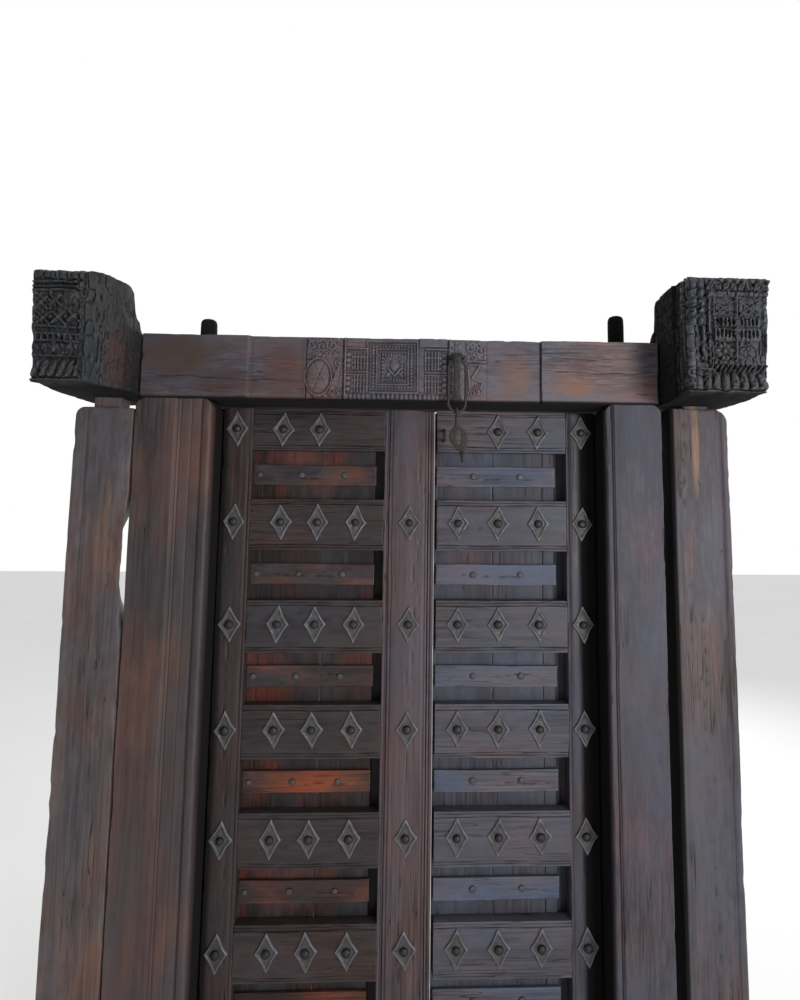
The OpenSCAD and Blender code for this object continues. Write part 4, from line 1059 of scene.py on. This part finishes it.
def build_outer_jamb(side, material, seed):
    node = f"outer_jamb_{side}"
    low, high = corners(node)
    sill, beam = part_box("threshold")[1].z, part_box("lintel")[0].z
    low[2] = sill
    body_top = beam - (0.028 if side == "left" else 0.008)
    body = high.copy()
    body[2] = body_top
    xs = graded(low[0], high[0], 0.006)
    ys = graded(low[1], high[1], 0.016)
    zs = graded(low[2], body_top, 0.0085, [(body_top - 0.06, body_top, 0.004)])
    points, faces = block(xs, ys, zs, "z")
    points = worn(points, low, body, edge_radius(points, 0.003, 0.014, seed, 0.07))
    outer = low[0] if side == "left" else high[0]
    e = np.abs(points[:, 0] - outer) * 1000
    w = (points[:, 2] - low[2]) * 1000
    depth = 3.4 * np.exp(-((e - 20) / 2.0) ** 2) + 2.8 * np.exp(-((e - 33) / 1.8) ** 2)
    if side == "right":
        depth += 2.4 * np.exp(-((e - 146) / 1.6) ** 2) + 2.0 * np.exp(-((e - 153) / 1.3) ** 2)
    for i in range(5):
        u0 = 52 + 21 * i + 5 * math.sin(2 * seed + 3 * i)
        depth += crack(e, w, u0, 60 + 330 * i - 200 * (i % 2), 700 + 330 * i, 1.2, 3.0, seed + i)
    depth += 1.3 * (0.5 + 0.5 * fbm(points, (0.011, 0.011, 0.10), 3, seed + 4))
    points = press(points, depth * MM, low[1], high[1])
    shoulder = 0.024 if side == "left" else 0.040
    out_edge = np.abs(points[:, 0] - outer)
    drop = rounded(out_edge, shoulder)
    points[:, 2] -= drop * ramp(points[:, 2], body_top - 0.10, body_top)
    hewn(points, 0.0030, (0.08, 0.08, 0.40), seed)
    if side == "left":
        # a long bite out of the edge beside the inner jamb, cut back deeper behind
        behind = points[:, 1] - low[1]
        bite = window(points[:, 2], 1.42, 1.70, 0.07) * ramp(points[:, 0], high[0] - 0.08, high[0])
        ragged = 1 + 0.5 * fbm(points, (1, 1, 0.035), 3, seed)
        points[:, 0] -= bite * (0.008 * ragged + 0.47 * behind)
    points = np.clip(points, low, body)
    mid = (low[0] + high[0]) / 2
    neck_low = np.array([mid - 0.036, low[1] + 0.014, body_top - 0.05])
    neck_high = np.array([mid + 0.036, high[1] - 0.014, beam + 0.02])
    neck, neck_faces = block(*(graded(neck_low[i], neck_high[i], 0.007) for i in range(3)))
    neck = worn(neck, neck_low, neck_high, edge_radius(neck, 0.003, 0.010, seed + 3))
    hewn(neck, 0.0022, (0.03, 0.03, 0.05), seed + 8)
    piece(f"worn_outer_jamb_{side}", shells((points, faces), (neck, neck_faces)), material,
          "frame", [node])


def build_threshold():
    low, high = corners("threshold")
    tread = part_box("pivot_cup_left")[1].z
    left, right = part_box("inner_jamb_left")[1].x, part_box("inner_jamb_right")[0].x
    jamb_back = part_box("inner_jamb_left")[1].y
    xs = graded(low[0], high[0], 0.012)
    ys = graded(low[1], high[1], 0.008)
    zs = graded(low[2], high[2], 0.0085)
    points, faces = block(xs, ys, zs)
    points = worn(points, low, high, edge_radius(points, 0.003, 0.014, 61, 0.06))
    trodden = window(points[:, 0], left + 0.15, right - 0.15, 0.22)
    step = ramp(points[:, 2], high[2] - 0.03, high[2])
    points[:, 2] -= (0.006 * trodden + 0.0012) * step
    u, w = points[:, 0] * 1000, (points[:, 2] - low[2]) * 1000
    depth = 1.4 * (0.5 + 0.5 * fbm(points, (0.12, 0.02, 0.012), 3, 60))
    for w0, u0, u1, s in ((46, -800, -250, 1), (88, -120, 420, 2), (62, 330, 860, 3)):
        depth += crack(w, u, w0, u0, u1, 1.3, 4.0, s)
    points = press(points, depth * MM, low[1], high[1])
    points = np.clip(points, low, high)
    obj = piece("worn_threshold", (points, faces), SILL_WOOD, "frame",
                ["threshold"])
    cup = corners("pivot_cup_left"), corners("pivot_cup_right")
    room = 0.010
    lip = -0.008
    cut_away(obj, (left, lip, tread), (right, high[1] + 0.01, high[2] + 0.01))
    cut_away(obj, (cup[0][0][0] - room, jamb_back, tread),
             (cup[1][1][0] + room, high[1] + 0.012, high[2] + 0.012))
    for c_low, c_high in cup:
        x, y = ((c_low + c_high) / 2)[:2]
        cut_away(obj, c_low, c_high + 0.01, (x, y, (c_high[0] - c_low[0]) / 2 + 0.0004))


# ---------------------------------------------------------------- leaves

def edge_lines(w, height):
    """Depth in mm of a rail's worked edges: a sunk margin, a groove and a raised field."""
    e = np.minimum(w, height - w)
    return (2.6 * (1 - ramp(e, 11.5, 13.5)) + 4.2 * np.exp(-((e - 14.5) / 1.5) ** 2)
            + 2.0 * np.exp(-((e - 7) / 1.1) ** 2))


def build_rail(node, body, material, x_low, x_high, seed):
    low, high = corners(node)
    low[0], high[0] = x_low, x_high
    height = (high[2] - low[2]) * 1000
    xs = graded(low[0], high[0], 0.0055)
    ys = graded(low[1], high[1], 0.016)
    rows = (0.018, 0.0018)
    zs = graded(low[2], high[2], 0.0048, [(low[2], low[2] + rows[0], rows[1]),
                                          (high[2] - rows[0], high[2], rows[1])])
    points, faces = block(xs, ys, zs, "x")
    points = worn(points, low, high, edge_radius(points, 0.0012, 0.006, seed, 0.045))
    u, w = (points[:, 0] - low[0]) * 1000, (points[:, 2] - low[2]) * 1000
    depth = edge_lines(w + 1.2 * np.sin(u / 60 + seed), height)
    start = -30 + 60 * (seed % 3)
    depth += crack(w, u, 50 + 7 * (seed % 6), start, start + 240, 0.9, 2.6, seed)
    depth += 0.8 * (0.5 + 0.5 * fbm(points, (0.09, 0.02, 0.008), 3, seed + 2))
    points = press(points, depth * MM, low[1], high[1])
    hewn(points, 0.0010, (0.14, 0.14, 0.06), seed)
    points = np.clip(points, low, high)
    piece("worn_" + node, (points, faces), material, body, [node])


def build_meeting_stile():
    low, high = corners("meeting_stile")
    xs = graded(low[0], high[0], 0.0042, [(low[0], low[0] + 0.028, 0.002),
                                         (high[0] - 0.030, high[0], 0.002)])
    ys = graded(low[1], high[1], 0.016)
    zs = graded(low[2], high[2], 0.0085)
    points, faces = block(xs, ys, zs, "z")
    points = worn(points, low, high, edge_radius(points, 0.0014, 0.007, 41, 0.05))
    u, w = (points[:, 0] - low[0]) * 1000, (points[:, 2] - low[2]) * 1000
    wide = (high[0] - low[0]) * 1000
    depth = np.zeros_like(u)
    for at, deep in ((9, 2.4), (14, 4.2), (23, 3.0), (wide - 10, 2.6), (wide - 18, 4.4),
                     (wide - 27, 2.6)):
        depth += deep * np.exp(-((u - at) / 1.5) ** 2)
    depth += 1.6 * (1 - ramp(u, 6, 13)) + 1.6 * ramp(u, wide - 17, wide - 9)
    for i in range(5):
        depth += crack(u, w, 44 + 15 * i, 330 * i - 100, 330 * i + 460, 0.9, 2.6, 3 + i)
    depth += 0.9 * (0.5 + 0.5 * fbm(points, (0.010, 0.010, 0.09), 3, 43))
    points = press(points, depth * MM, low[1], high[1])
    hewn(points, 0.0013, (0.08, 0.08, 0.30), 44)
    points = np.clip(points, low, high)
    piece("worn_meeting_stile", (points, faces), MEETING_WOOD, "left_leaf",
          ["meeting_stile"])


def build_hinge_stile(side, edge, inner, material, seed):
    node = f"hinge_stile_{side}"
    low, high = corners(node)
    rail_low, rail_high = corners(f"{side}_rail_7")[0][2], corners(f"{side}_rail_1")[1][2]
    shoe_low, shoe_high = corners(f"pivot_shoe_{side}")
    px, py = ((shoe_low + shoe_high) / 2)[:2]
    body = f"{side}_leaf"
    front_low = np.array([min(edge, inner), 0.0, rail_low])
    front_high = np.array([max(edge, inner), 0.080, rail_high])
    xs = graded(front_low[0], front_high[0], 0.0048)
    ys = graded(front_low[1], front_high[1], 0.016)
    zs = graded(rail_low, rail_high, 0.0085)
    points, faces = block(xs, ys, zs)
    points = worn(points, front_low, front_high, edge_radius(points, 0.0016, 0.008, seed, 0.05))
    e = np.abs(points[:, 0] - inner) * 1000
    w = (points[:, 2] - rail_low) * 1000
    depth = 2.8 * np.exp(-((e - 9) / 1.6) ** 2) + 2.2 * np.exp(-((e - 74) / 1.6) ** 2)
    for i in range(4):
        depth += crack(e, w, 24 + 13 * i, 420 * i - 60, 420 * i + 420, 0.9, 2.8, seed + i)
    depth += 0.9 * (0.5 + 0.5 * fbm(points, (0.010, 0.010, 0.09), 3, seed + 3))
    points = press(points, depth * MM, front_low[1], front_high[1])
    hewn(points, 0.0012, (0.08, 0.08, 0.30), seed)
    points = np.clip(points, front_low, front_high)

    neck_low = np.array([min(px, edge + math.copysign(0.004, inner - edge)), 0.020, rail_low])
    neck_high = np.array([max(px, edge + math.copysign(0.004, inner - edge)), 0.080, rail_high])
    neck = block(*(graded(neck_low[i], neck_high[i], s) for i, s in ((0, 0.012), (1, 0.012),
                                                                     (2, 0.03))))
    neck_points = worn(neck[0], neck_low, neck_high, 0.003)

    rows = [(0.020, shoe_low[2] + 0.002), (0.0208, rail_low)]
    rows += [(0.0325, z) for z in np.arange(rail_low + 0.002, rail_high - 0.002, 0.030)]
    rows += [(0.0325, rail_high), (0.0258, rail_high + 0.001)]
    rows += [(0.0254, z) for z in np.arange(rail_high + 0.02, high[2] - 0.02, 0.02)]
    top = high[2]
    rows += [(0.0250, top - 0.016), (0.0236, top - 0.009), (0.0205, top - 0.004),
             (0.0150, top - 0.0012), (0.006, top)]
    heel, heel_faces = lathe(rows, 40, (px, py, 0))
    out = heel - np.array([px, py, 0])
    out[:, 2] = 0
    above = heel[:, 2] > rail_high
    hew = 1 - 0.02 * (1 + fbm(heel, (0.03, 0.03, 0.12), 3, seed + 9))
    hew = np.where(above, hew - 0.02 * (1 + fbm(heel, (0.014, 0.014, 0.05), 2, seed)), hew)
    heel = heel - out + out * hew[:, None]
    piece("worn_" + node, shells((points, faces), (neck_points, neck[1]), (heel, heel_faces)),
          material, body, [node])


BATTEN_GAP = 0.026                      # the battens stop this far short of the recess's end


def build_boards(side, material, seed):
    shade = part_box(f"{side}_batten_1")[1].x - BATTEN_GAP
    for i in (1, 2, 3):
        node = f"{side}_board_{i}"
        low, high = corners(node)
        xs = graded(low[0], high[0], 0.009, [(shade - 0.006, shade + 0.006, 0.002)])
        ys = graded(low[1], high[1], 0.008)
        zs = graded(low[2], high[2], 0.018)
        points, faces = block(xs, ys, zs)
        points = worn(points, low, high, edge_radius(points, 0.001, 0.004, seed + i, 0.05))
        u, w = (points[:, 0] - low[0]) * 1000, (points[:, 2] - low[2]) * 1000
        depth = 1.5 * (0.5 + 0.5 * fbm(points, (0.018, 1, 0.16), 3, seed + 7 * i))
        depth += crack(u, w, 0.4 * (high[0] - low[0]) * 1000, 100 * i, 900 + 200 * i, 3.5, 2.0, i)
        depth += 15 * ramp(points[:, 0], shade - 0.004, shade)
        points = press(points, depth * MM, low[1], high[1])
        back = ramp(points[:, 1], high[1] - 0.004, high[1])
        points[:, 1] -= back * 0.0015 * (1 + fbm(points, (0.02, 1, 0.14), 3, seed + 70 + i))
        piece("worn_" + node, (np.clip(points, low, high), faces), material, f"{side}_leaf",
              [node])


def build_battens(side, material, seed):
    for i in range(1, 7):
        node = f"{side}_batten_{i}"
        low, high = corners(node)
        high[0] -= BATTEN_GAP + 0.002 * math.sin(3 * i + seed)
        xs = graded(low[0], high[0], 0.0065)
        ys = graded(low[1], high[1], 0.005)
        zs = graded(low[2], high[2], 0.0035)
        points, faces = block(xs, ys, zs, "x")
        points = worn(points, low, high, edge_radius(points, 0.0018, 0.0058, seed + i, 0.03))
        u, w = (points[:, 0] - low[0]) * 1000, (points[:, 2] - low[2]) * 1000
        depth = 1.4 * (0.5 + 0.5 * fbm(points, (0.07, 1, 0.007), 3, seed + 5 * i))
        depth += crack(w, u, 20 + 4 * (i % 4), -40 + 50 * i, 160 + 50 * i, 1.0, 3.0, i)
        points = press(points, depth * MM, low[1], high[1])
        sway = 0.0022 * fbm(points, (0.16, 1, 10), 2, seed + 9 * i)
        points[:, 2] += sway
        piece("worn_" + node, (np.clip(points, low, high), faces), material, f"{side}_leaf",
              [node])


# ---------------------------------------------------------------- iron bosses and nails

def hammered_plate(low, high, rnd):
    """A lozenge with a bevelled rim, beaten slightly out of true."""
    cx, cz = (low[0] + high[0]) / 2, (low[2] + high[2]) / 2
    a, b = (high[0] - low[0]) / 2, (high[2] - low[2]) / 2
    thick = high[1] - low[1]
    a *= rnd.uniform(0.93, 1.0)
    b *= rnd.uniform(0.92, 1.0)
    turn = math.radians(rnd.uniform(-3.5, 3.5))
    steps = 40
    rings = ((1.0, 0.0), (1.0, 0.50), (0.975, 0.72), (0.90, 0.98), (0.80, 0.90), (0.70, 0.60),
             (0.50, 0.55), (0.30, 0.66), (0.12, 0.80))
    points = []
    lift = [rnd.uniform(0, 0.22) for _ in range(4)]
    for share, rise in rings:
        for s in range(steps):
            t = 2 * math.pi * s / steps
            c, w = math.cos(t), math.sin(t)
            r = share / (abs(c) / a + abs(w) / b)
            pinch = 1 - 0.05 * math.sin(2 * t) ** 2
            x, z = r * c * pinch, r * w * pinch
            corner = lift[int(round(4 * s / steps)) % 4] * max(0, share - 0.6) / 0.4
            y = high[1] - thick * min(1.0, rise * (1 + corner))
            points.append((cx + x * math.cos(turn) - z * math.sin(turn), y,
                           cz + x * math.sin(turn) + z * math.cos(turn)))
    faces = skin(len(rings), steps)
    faces.append(list(range(steps))[::-1])
    faces.append([(len(rings) - 1) * steps + s for s in range(steps)])
    points = np.array(points)
    front = points[:, 1] < high[1] - 0.3 * thick
    points[:, 1] += np.where(front, 0.0007 * noise(points, 0.009, rnd.randrange(99)), 0)
    points[:, 0] += 0.0008 * noise(points, 0.02, 7)
    points[:, 2] += 0.0008 * noise(points, 0.02, 8)
    return np.clip(points, low, high), faces


def forged_nail(low, high, plate_front, rnd, clenched):
    """A domed head, its shank behind, and a clenched tip on the far face."""
    cx, cz = (low[0] + high[0]) / 2, (low[2] + high[2]) / 2
    r = (high[0] - low[0]) / 2 * rnd.uniform(0.84, 0.98)
    rise = plate_front - low[1]
    rows = [(0.0038, -high[1] + 0.001), (0.0038, -plate_front + 0.0002), (r, -plate_front + 0.0003),
            (r * 1.0, -plate_front + 0.0018)]
    for t in (0.3, 0.52, 0.72, 0.88, 0.97, 1.0):
        rows.append((r * math.cos(t * math.pi / 2) + 0.0004, -plate_front + 0.0018
                     + (rise * 0.96 - 0.0018) * math.sin(t * math.pi / 2)))
    points, faces = lathe(rows, 18, (cx, 0, cz), "y")
    faces = [f[::-1] for f in faces]
    head = points[:, 1] < plate_front
    wobble = 0.0009 * noise(points, 0.008, rnd.randrange(999))
    points[:, 0] += np.where(head, wobble, 0)
    points[:, 2] += np.where(head, -wobble, 0)
    parts = [(np.clip(points, low, high), faces)]
    if clenched:
        a = rnd.uniform(-0.5, 0.5) + (0 if rnd.random() < 0.5 else math.pi)
        tip = [(cx, high[1] - 0.006, cz), (cx, high[1] - 0.0035, cz),
               (cx + 0.004 * math.cos(a), high[1] - 0.0026, cz + 0.004 * math.sin(a)),
               (cx + 0.018 * math.cos(a), high[1] - 0.0030, cz + 0.018 * math.sin(a)),
               (cx + 0.026 * math.cos(a), high[1] - 0.0044, cz + 0.026 * math.sin(a))]
        parts.append(tube(tip, [0.0022, 0.0024, 0.0024, 0.0019, 0.0008], 8))
    return parts


def build_bosses(side, seed):
    rnd = random.Random(seed)
    body = f"{side}_leaf"
    plates, nails, small = [], [], []
    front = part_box(f"{side}_boss_plates")[0].y
    for low, high in islands(f"{side}_boss_plates"):
        plates.append(hammered_plate(low, high, rnd))
    board_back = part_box(f"{side}_board_1")[1].y
    for low, high in islands(f"{side}_boss_nails"):
        nails += forged_nail(low, high, front, rnd, high[1] > board_back)
    for low, high in islands(f"{side}_batten_nails"):
        small += forged_nail(low, high, low[1] + 0.004, rnd, False)
    piece(f"{side}_hammered_plates", shells(*plates), PLATE_IRON, body,
          [f"{side}_boss_plates"], 30)
    piece(f"{side}_forged_nails", shells(*nails), NAIL_IRON, body,
          [f"{side}_boss_nails"], 40)
    piece(f"{side}_clout_nails", shells(*small), PLATE_IRON, body,
          [f"{side}_batten_nails"], 40)


# ---------------------------------------------------------------- chain

def long_way_round(half, low, high, steps=14):
    """Points of an upright oval: two half circles joined by straight sides, as (side, z)."""
    way = []
    for i in range(steps + 1):
        a = math.pi * i / steps
        way.append((half * math.cos(a), high + half * math.sin(a)))
    for i in range(1, 8):
        way.append((-half, high + (low - high) * i / 8))
    for i in range(steps + 1):
        a = math.pi + math.pi * i / steps
        way.append((half * math.cos(a), low + half * math.sin(a)))
    for i in range(1, 8):
        way.append((half, low + (high - low) * i / 8))
    return way


def forged(points, amount, seed):
    for axis in range(3):
        points[:, axis] += amount * noise(points, 0.012, seed + axis)
    return points


def build_staple(node, name, body, across, seed):
    """A U driven in by both legs; across is the axis that parts its legs."""
    low, high = corners(node)
    r = min((high - low)[0], (high - low)[2]) / 2
    mid = (low + high) / 2
    half = (high - low)[across] / 2 - r
    front, bend = low[1] + r, 0.012
    side = np.zeros(3)
    side[across] = 1
    ahead = np.array([0, 1, 0])
    base = np.array([mid[0], 0, mid[2]])
    leg = base + side * half
    way = [leg + ahead * (high[1] - 0.002), leg + ahead * (front + 0.02)]
    for i in range(9):
        a = math.pi / 2 * i / 8
        way.append(base + side * (half - bend + bend * math.cos(a))
                   + ahead * (front + bend - bend * math.sin(a)))
    mirrored = [2 * (base + ahead * p[1]) - p for p in way[::-1]]
    for p, q in zip(mirrored, way[::-1]):
        p[1] = q[1]
    way = way + mirrored
    points, faces = tube(way, r * 0.96, 12)
    points = np.clip(forged(points, 0.0008, seed), low, high)
    piece(name, (points, faces), CHAIN_IRON, body, [node], 45)


def hasp_body(middle, steps=48):
    """A flat pear of iron, as (side, rise) about its neck, with a narrow upright slot."""
    outline = [(0.0, -0.022), (0.013, -0.032), (0.0235, -0.044), (0.0280, -0.060),
               (0.0285, -0.076), (0.0265, -0.092), (0.021, -0.101), (0.012, -0.099),
               (0.001, -0.093), (-0.010, -0.080), (-0.0185, -0.066), (-0.0205, -0.050),
               (-0.012, -0.033)]
    turns = np.linspace(-math.pi, math.pi, steps, endpoint=False)
    around = sorted((math.atan2(z - middle[1], x - middle[0]),
                     math.hypot(x - middle[0], z - middle[1])) for x, z in outline)
    rim = np.interp(turns, [a for a, _ in around], [r for _, r in around], period=2 * math.pi)
    slot = 1 / (np.abs(np.cos(turns) / 0.0062) ** 4 + np.abs(np.sin(turns) / 0.020) ** 4) ** 0.25
    rows = [(1.0, 0.0024), (1.0, -0.0020), (0.93, -0.0036), (0.75, -0.0039), (0.40, -0.0030),
            (0.12, -0.0036), (0.0, -0.0028), (0.0, 0.0028), (0.5, 0.0034), (0.93, 0.0034)]
    points = []
    for share, y in rows:
        r = slot + (rim - slot) * share
        points += [(middle[0] + q * math.cos(t), y, middle[1] + q * math.sin(t))
                   for q, t in zip(r, turns)]
    return np.array(points), skin(len(rows), steps, True)


def build_chain():
    build_staple("chain_staple", "lintel_staple", "frame", 0, 3)
    build_staple("hasp_staple", "door_staple", "right_leaf", 2, 4)

    low, high = corners("strap_link")
    mid = (low + high) / 2
    outer, thick, wide = (high[1] - low[1]) / 2, 0.004, (high[0] - low[0]) / 2
    way = [(mid[0], mid[1] + s, z) for s, z in long_way_round(outer - thick / 2, low[2] + outer,
                                                              high[2] - outer)]
    edge = 0.0009
    half = thick / 2
    section = [(-half + edge, wide), (half - edge, wide), (half, wide - edge), (half, 0),
               (half, -wide + edge), (half - edge, -wide), (-half + edge, -wide),
               (-half, -wide + edge), (-half, 0), (-half, wide - edge)]
    strap = tube(way, 1.0, closed=True, section=section)
    waist = 1 - 0.36 * window(strap[0][:, 2], low[2] + 0.012, high[2] - 0.022, 0.012)
    strap[0][:, 0] = mid[0] + (strap[0][:, 0] - mid[0]) * waist
    strap[0][:, 1] -= 0.0012 * np.sin((strap[0][:, 2] - low[2]) / (high[2] - low[2]) * math.pi)
    loop_top = corners("long_loop")[1][2]
    rivet_z = loop_top - 0.008 - 0.0035
    rivet = lathe([(0.0018, -outer), (0.0046, -outer + 0.001), (0.003, -outer + 0.0026),
                   (0.003, outer - 0.0026), (0.0046, outer - 0.001), (0.0018, outer)], 14,
                  (mid[0], mid[1], rivet_z), "y")
    points, faces = shells((forged(strap[0], 0.0007, 5), strap[1]), rivet)
    piece("folded_strap", (np.clip(points, low, high), faces), CHAIN_IRON, "strap",
          ["strap_link"], 35)

    low, high = corners("long_loop")
    mid = (low + high) / 2
    bar = (high[1] - low[1]) / 2
    half = (high[0] - low[0]) / 2 - bar
    way = [(mid[0] + s, mid[1], z) for s, z in long_way_round(half, low[2] + bar + half,
                                                              high[2] - bar - half)]
    radii = [bar * (0.84 + 0.14 * abs(math.sin(0.21 * i))) for i in range(len(way))]
    points, faces = tube(way, radii, 12, closed=True)
    piece("long_oval_link", (np.clip(forged(points, 0.0007, 8), low, high), faces), CHAIN_IRON,
          "loop", ["long_loop"], 50)

    low, high = corners("hasp")
    centre = frame["joints"][4]["pos_m"][0]
    y = (corners("long_loop")[0][1] + corners("long_loop")[1][1]) / 2
    eye_r, eye_bar = 0.0105, 0.0034
    eye_z = high[2] - eye_r - 0.0035
    eye = tube([(centre, y + eye_r * math.cos(2 * math.pi * i / 28),
                 eye_z + eye_r * math.sin(2 * math.pi * i / 28)) for i in range(28)], eye_bar, 12,
               closed=True)
    top = eye_z - eye_r
    neck = [(0, 0.004, 0.0055), (0, -0.012, 0.0052), (0.001, -0.030, 0.0068)]
    neck_part = tube([(centre + x, y, top + z) for x, z, _ in neck], [r for _, _, r in neck], 12)
    body = hasp_body((0.006, -0.058))
    body = body[0] + np.array([centre, y, top]), body[1]
    spot = centre + 0.015, top - 0.099
    tail = tube([(spot[0] - 0.001, y, spot[1] + 0.004 + 0.006),
                 (spot[0] + 0.0065, y, spot[1] + 0.001), (spot[0] + 0.0045, y, spot[1] - 0.0062),
                 (spot[0] - 0.0045, y, spot[1] - 0.0062), (spot[0] - 0.0072, y, spot[1] + 0.001)],
                [0.0026] * 5, 10, closed=True)
    points, faces = shells(eye, neck_part, body, tail)
    piece("forged_hasp", (np.clip(forged(points, 0.0006, 9), low, high), faces), CHAIN_IRON, "hasp",
          ["hasp"], 50)

    low, high = corners("hasp_ring")
    mid = (low + high) / 2
    bar = (high[0] - low[0]) / 2
    r = (high[2] - low[2]) / 2 - bar
    way = [(mid[0], mid[1] + r * math.cos(2 * math.pi * i / 30),
            mid[2] + r * math.sin(2 * math.pi * i / 30)) for i in range(30)]
    points, faces = tube(way, bar * 0.94, 12, closed=True)
    piece("hasp_end_ring", (np.clip(forged(points, 0.0005, 12), low, high), faces), CHAIN_IRON,
          "ring", ["hasp_ring"], 50)


# ---------------------------------------------------------------- build

build_lintel()
build_corbel("right", right_corbel_front, right_corbel_side, CORBEL_WOOD, 21)
build_corbel("left", left_corbel_front, left_corbel_side, CORBEL_LEFT_WOOD, 22)
build_inner_jamb("left", JAMB_LEFT_WOOD, 31)
build_inner_jamb("right", JAMB_RIGHT_WOOD, 32)
build_outer_jamb("left", OUTER_WOOD, 33)
build_outer_jamb("right", OUTER_RIGHT_WOOD, 34)
build_threshold()
build_meeting_stile()
left_edge, left_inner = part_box("left_batten_1")[0].x - 0.086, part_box("left_batten_1")[0].x
right_edge, right_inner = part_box("right_batten_1")[1].x + 0.086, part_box("right_batten_1")[1].x
build_hinge_stile("left", left_edge, left_inner, LEAF_UPRIGHT, 45)
build_hinge_stile("right", right_edge, right_inner, RIGHT_UPRIGHT, 46)
for number in range(1, 8):
    build_rail(f"left_rail_{number}", "left_leaf", LEAF_WOOD, left_inner,
               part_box("left_batten_1")[1].x, 50 + number)
    build_rail(f"right_rail_{number}", "right_leaf", RIGHT_WOOD,
               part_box("right_batten_1")[0].x, right_inner, 60 + number)
build_boards("left", BOARD_LEFT_WOOD, 71)
build_boards("right", BOARD_RIGHT_WOOD, 81)
build_battens("left", BATTEN_LEFT_WOOD, 91)
build_battens("right", BATTEN_RIGHT_WOOD, 101)
build_bosses("left", 5)
build_bosses("right", 6)
build_chain()
for node in ("pivot_cup_left", "pivot_cup_right", "pivot_shoe_left", "pivot_shoe_right"):
    NODES[node].data.materials.clear()
    NODES[node].data.materials.append(HIDDEN_IRON)

# ---------------------------------------------------------------- stage

floor_points, floor_faces = block(np.linspace(-14, 14, 3), np.linspace(-14, 14, 3),
                                  np.array([-0.05, 0.0]))
floor_mesh = bpy.data.meshes.new("studio_floor")
floor_mesh.from_pydata(floor_points.tolist(), [], [[int(v) for v in f] for f in floor_faces])
floor_mesh.materials.append(plain_floor())
floor = bpy.data.objects.new("studio_floor", floor_mesh)
bpy.context.scene.collection.objects.link(floor)


def soft_light(name, place, aim, size, power, colour=(1, 1, 1)):
    lamp = bpy.data.lights.new(name, "AREA")
    lamp.shape = "RECTANGLE"
    lamp.size, lamp.size_y = size
    lamp.energy = power
    lamp.color = colour
    obj = bpy.data.objects.new(name, lamp)
    obj.location = place
    obj.rotation_euler = (Vector(aim) - Vector(place)).to_track_quat("-Z", "Y").to_euler()
    bpy.context.scene.collection.objects.link(obj)


soft_light("key", (2.3, -4.2, 1.5), (0.1, 0.0, 1.6), (1.1, 1.6), 150, (0.96, 0.98, 1.0))
soft_light("back", (1.5, 3.8, 3.2), (0.0, 0.0, 1.4), (2.5, 2.5), 90, (1.0, 1.0, 1.0))

# The studio is white behind the door and to its right, and dimmer in front and to its left.
world = bpy.data.worlds.new("studio")
bpy.context.scene.world = world
world.use_nodes = True
sky = world.node_tree
way = sky.nodes.new("ShaderNodeTexCoord")
lean = sky.nodes.new("ShaderNodeVectorMath")
lean.operation = "DOT_PRODUCT"
lean.inputs[1].default_value = (1.0, 0.9, 0.0)
level = sky.nodes.new("ShaderNodeMapRange")
level.inputs["From Min"].default_value = -0.9
level.inputs["From Max"].default_value = 0.0
level.inputs["To Min"].default_value = 0.3
level.inputs["To Max"].default_value = 1.0
sky.links.new(way.outputs["Generated"], lean.inputs[0])
sky.links.new(lean.outputs["Value"], level.inputs["Value"])
sky.links.new(level.outputs["Result"], sky.nodes["Background"].inputs["Strength"])
sky.nodes["Background"].inputs["Color"].default_value = (1, 1, 1, 1)
bpy.context.scene.view_settings.view_transform = "Standard"

# The camera stands 1.83 m in front of the leaves at eye height and looks slightly up.
yaw, pitch, roll = math.radians(2.17), math.radians(5.90), math.radians(0.52)
ahead = Vector((math.sin(yaw) * math.cos(pitch), math.cos(yaw) * math.cos(pitch), math.sin(pitch)))
right = Vector((math.cos(yaw), -math.sin(yaw), 0))
up = right.cross(ahead)
turned_right = right * math.cos(roll) + up * math.sin(roll)
turned_up = up * math.cos(roll) - right * math.sin(roll)
eye = (0.003, -1.833, 1.726)
camera = bpy.data.cameras.new("camera")
camera.lens = 22.32
camera.sensor_width = 36
camera.shift_x = -0.035
camera.shift_y = -0.06
camera_obj = bpy.data.objects.new("camera", camera)
camera_obj.matrix_world = Matrix((
    (turned_right.x, turned_up.x, -ahead.x, eye[0]),
    (turned_right.y, turned_up.y, -ahead.y, eye[1]),
    (turned_right.z, turned_up.z, -ahead.z, eye[2]),
    (0, 0, 0, 1)))
bpy.context.scene.collection.objects.link(camera_obj)
bpy.context.scene.camera = camera_obj
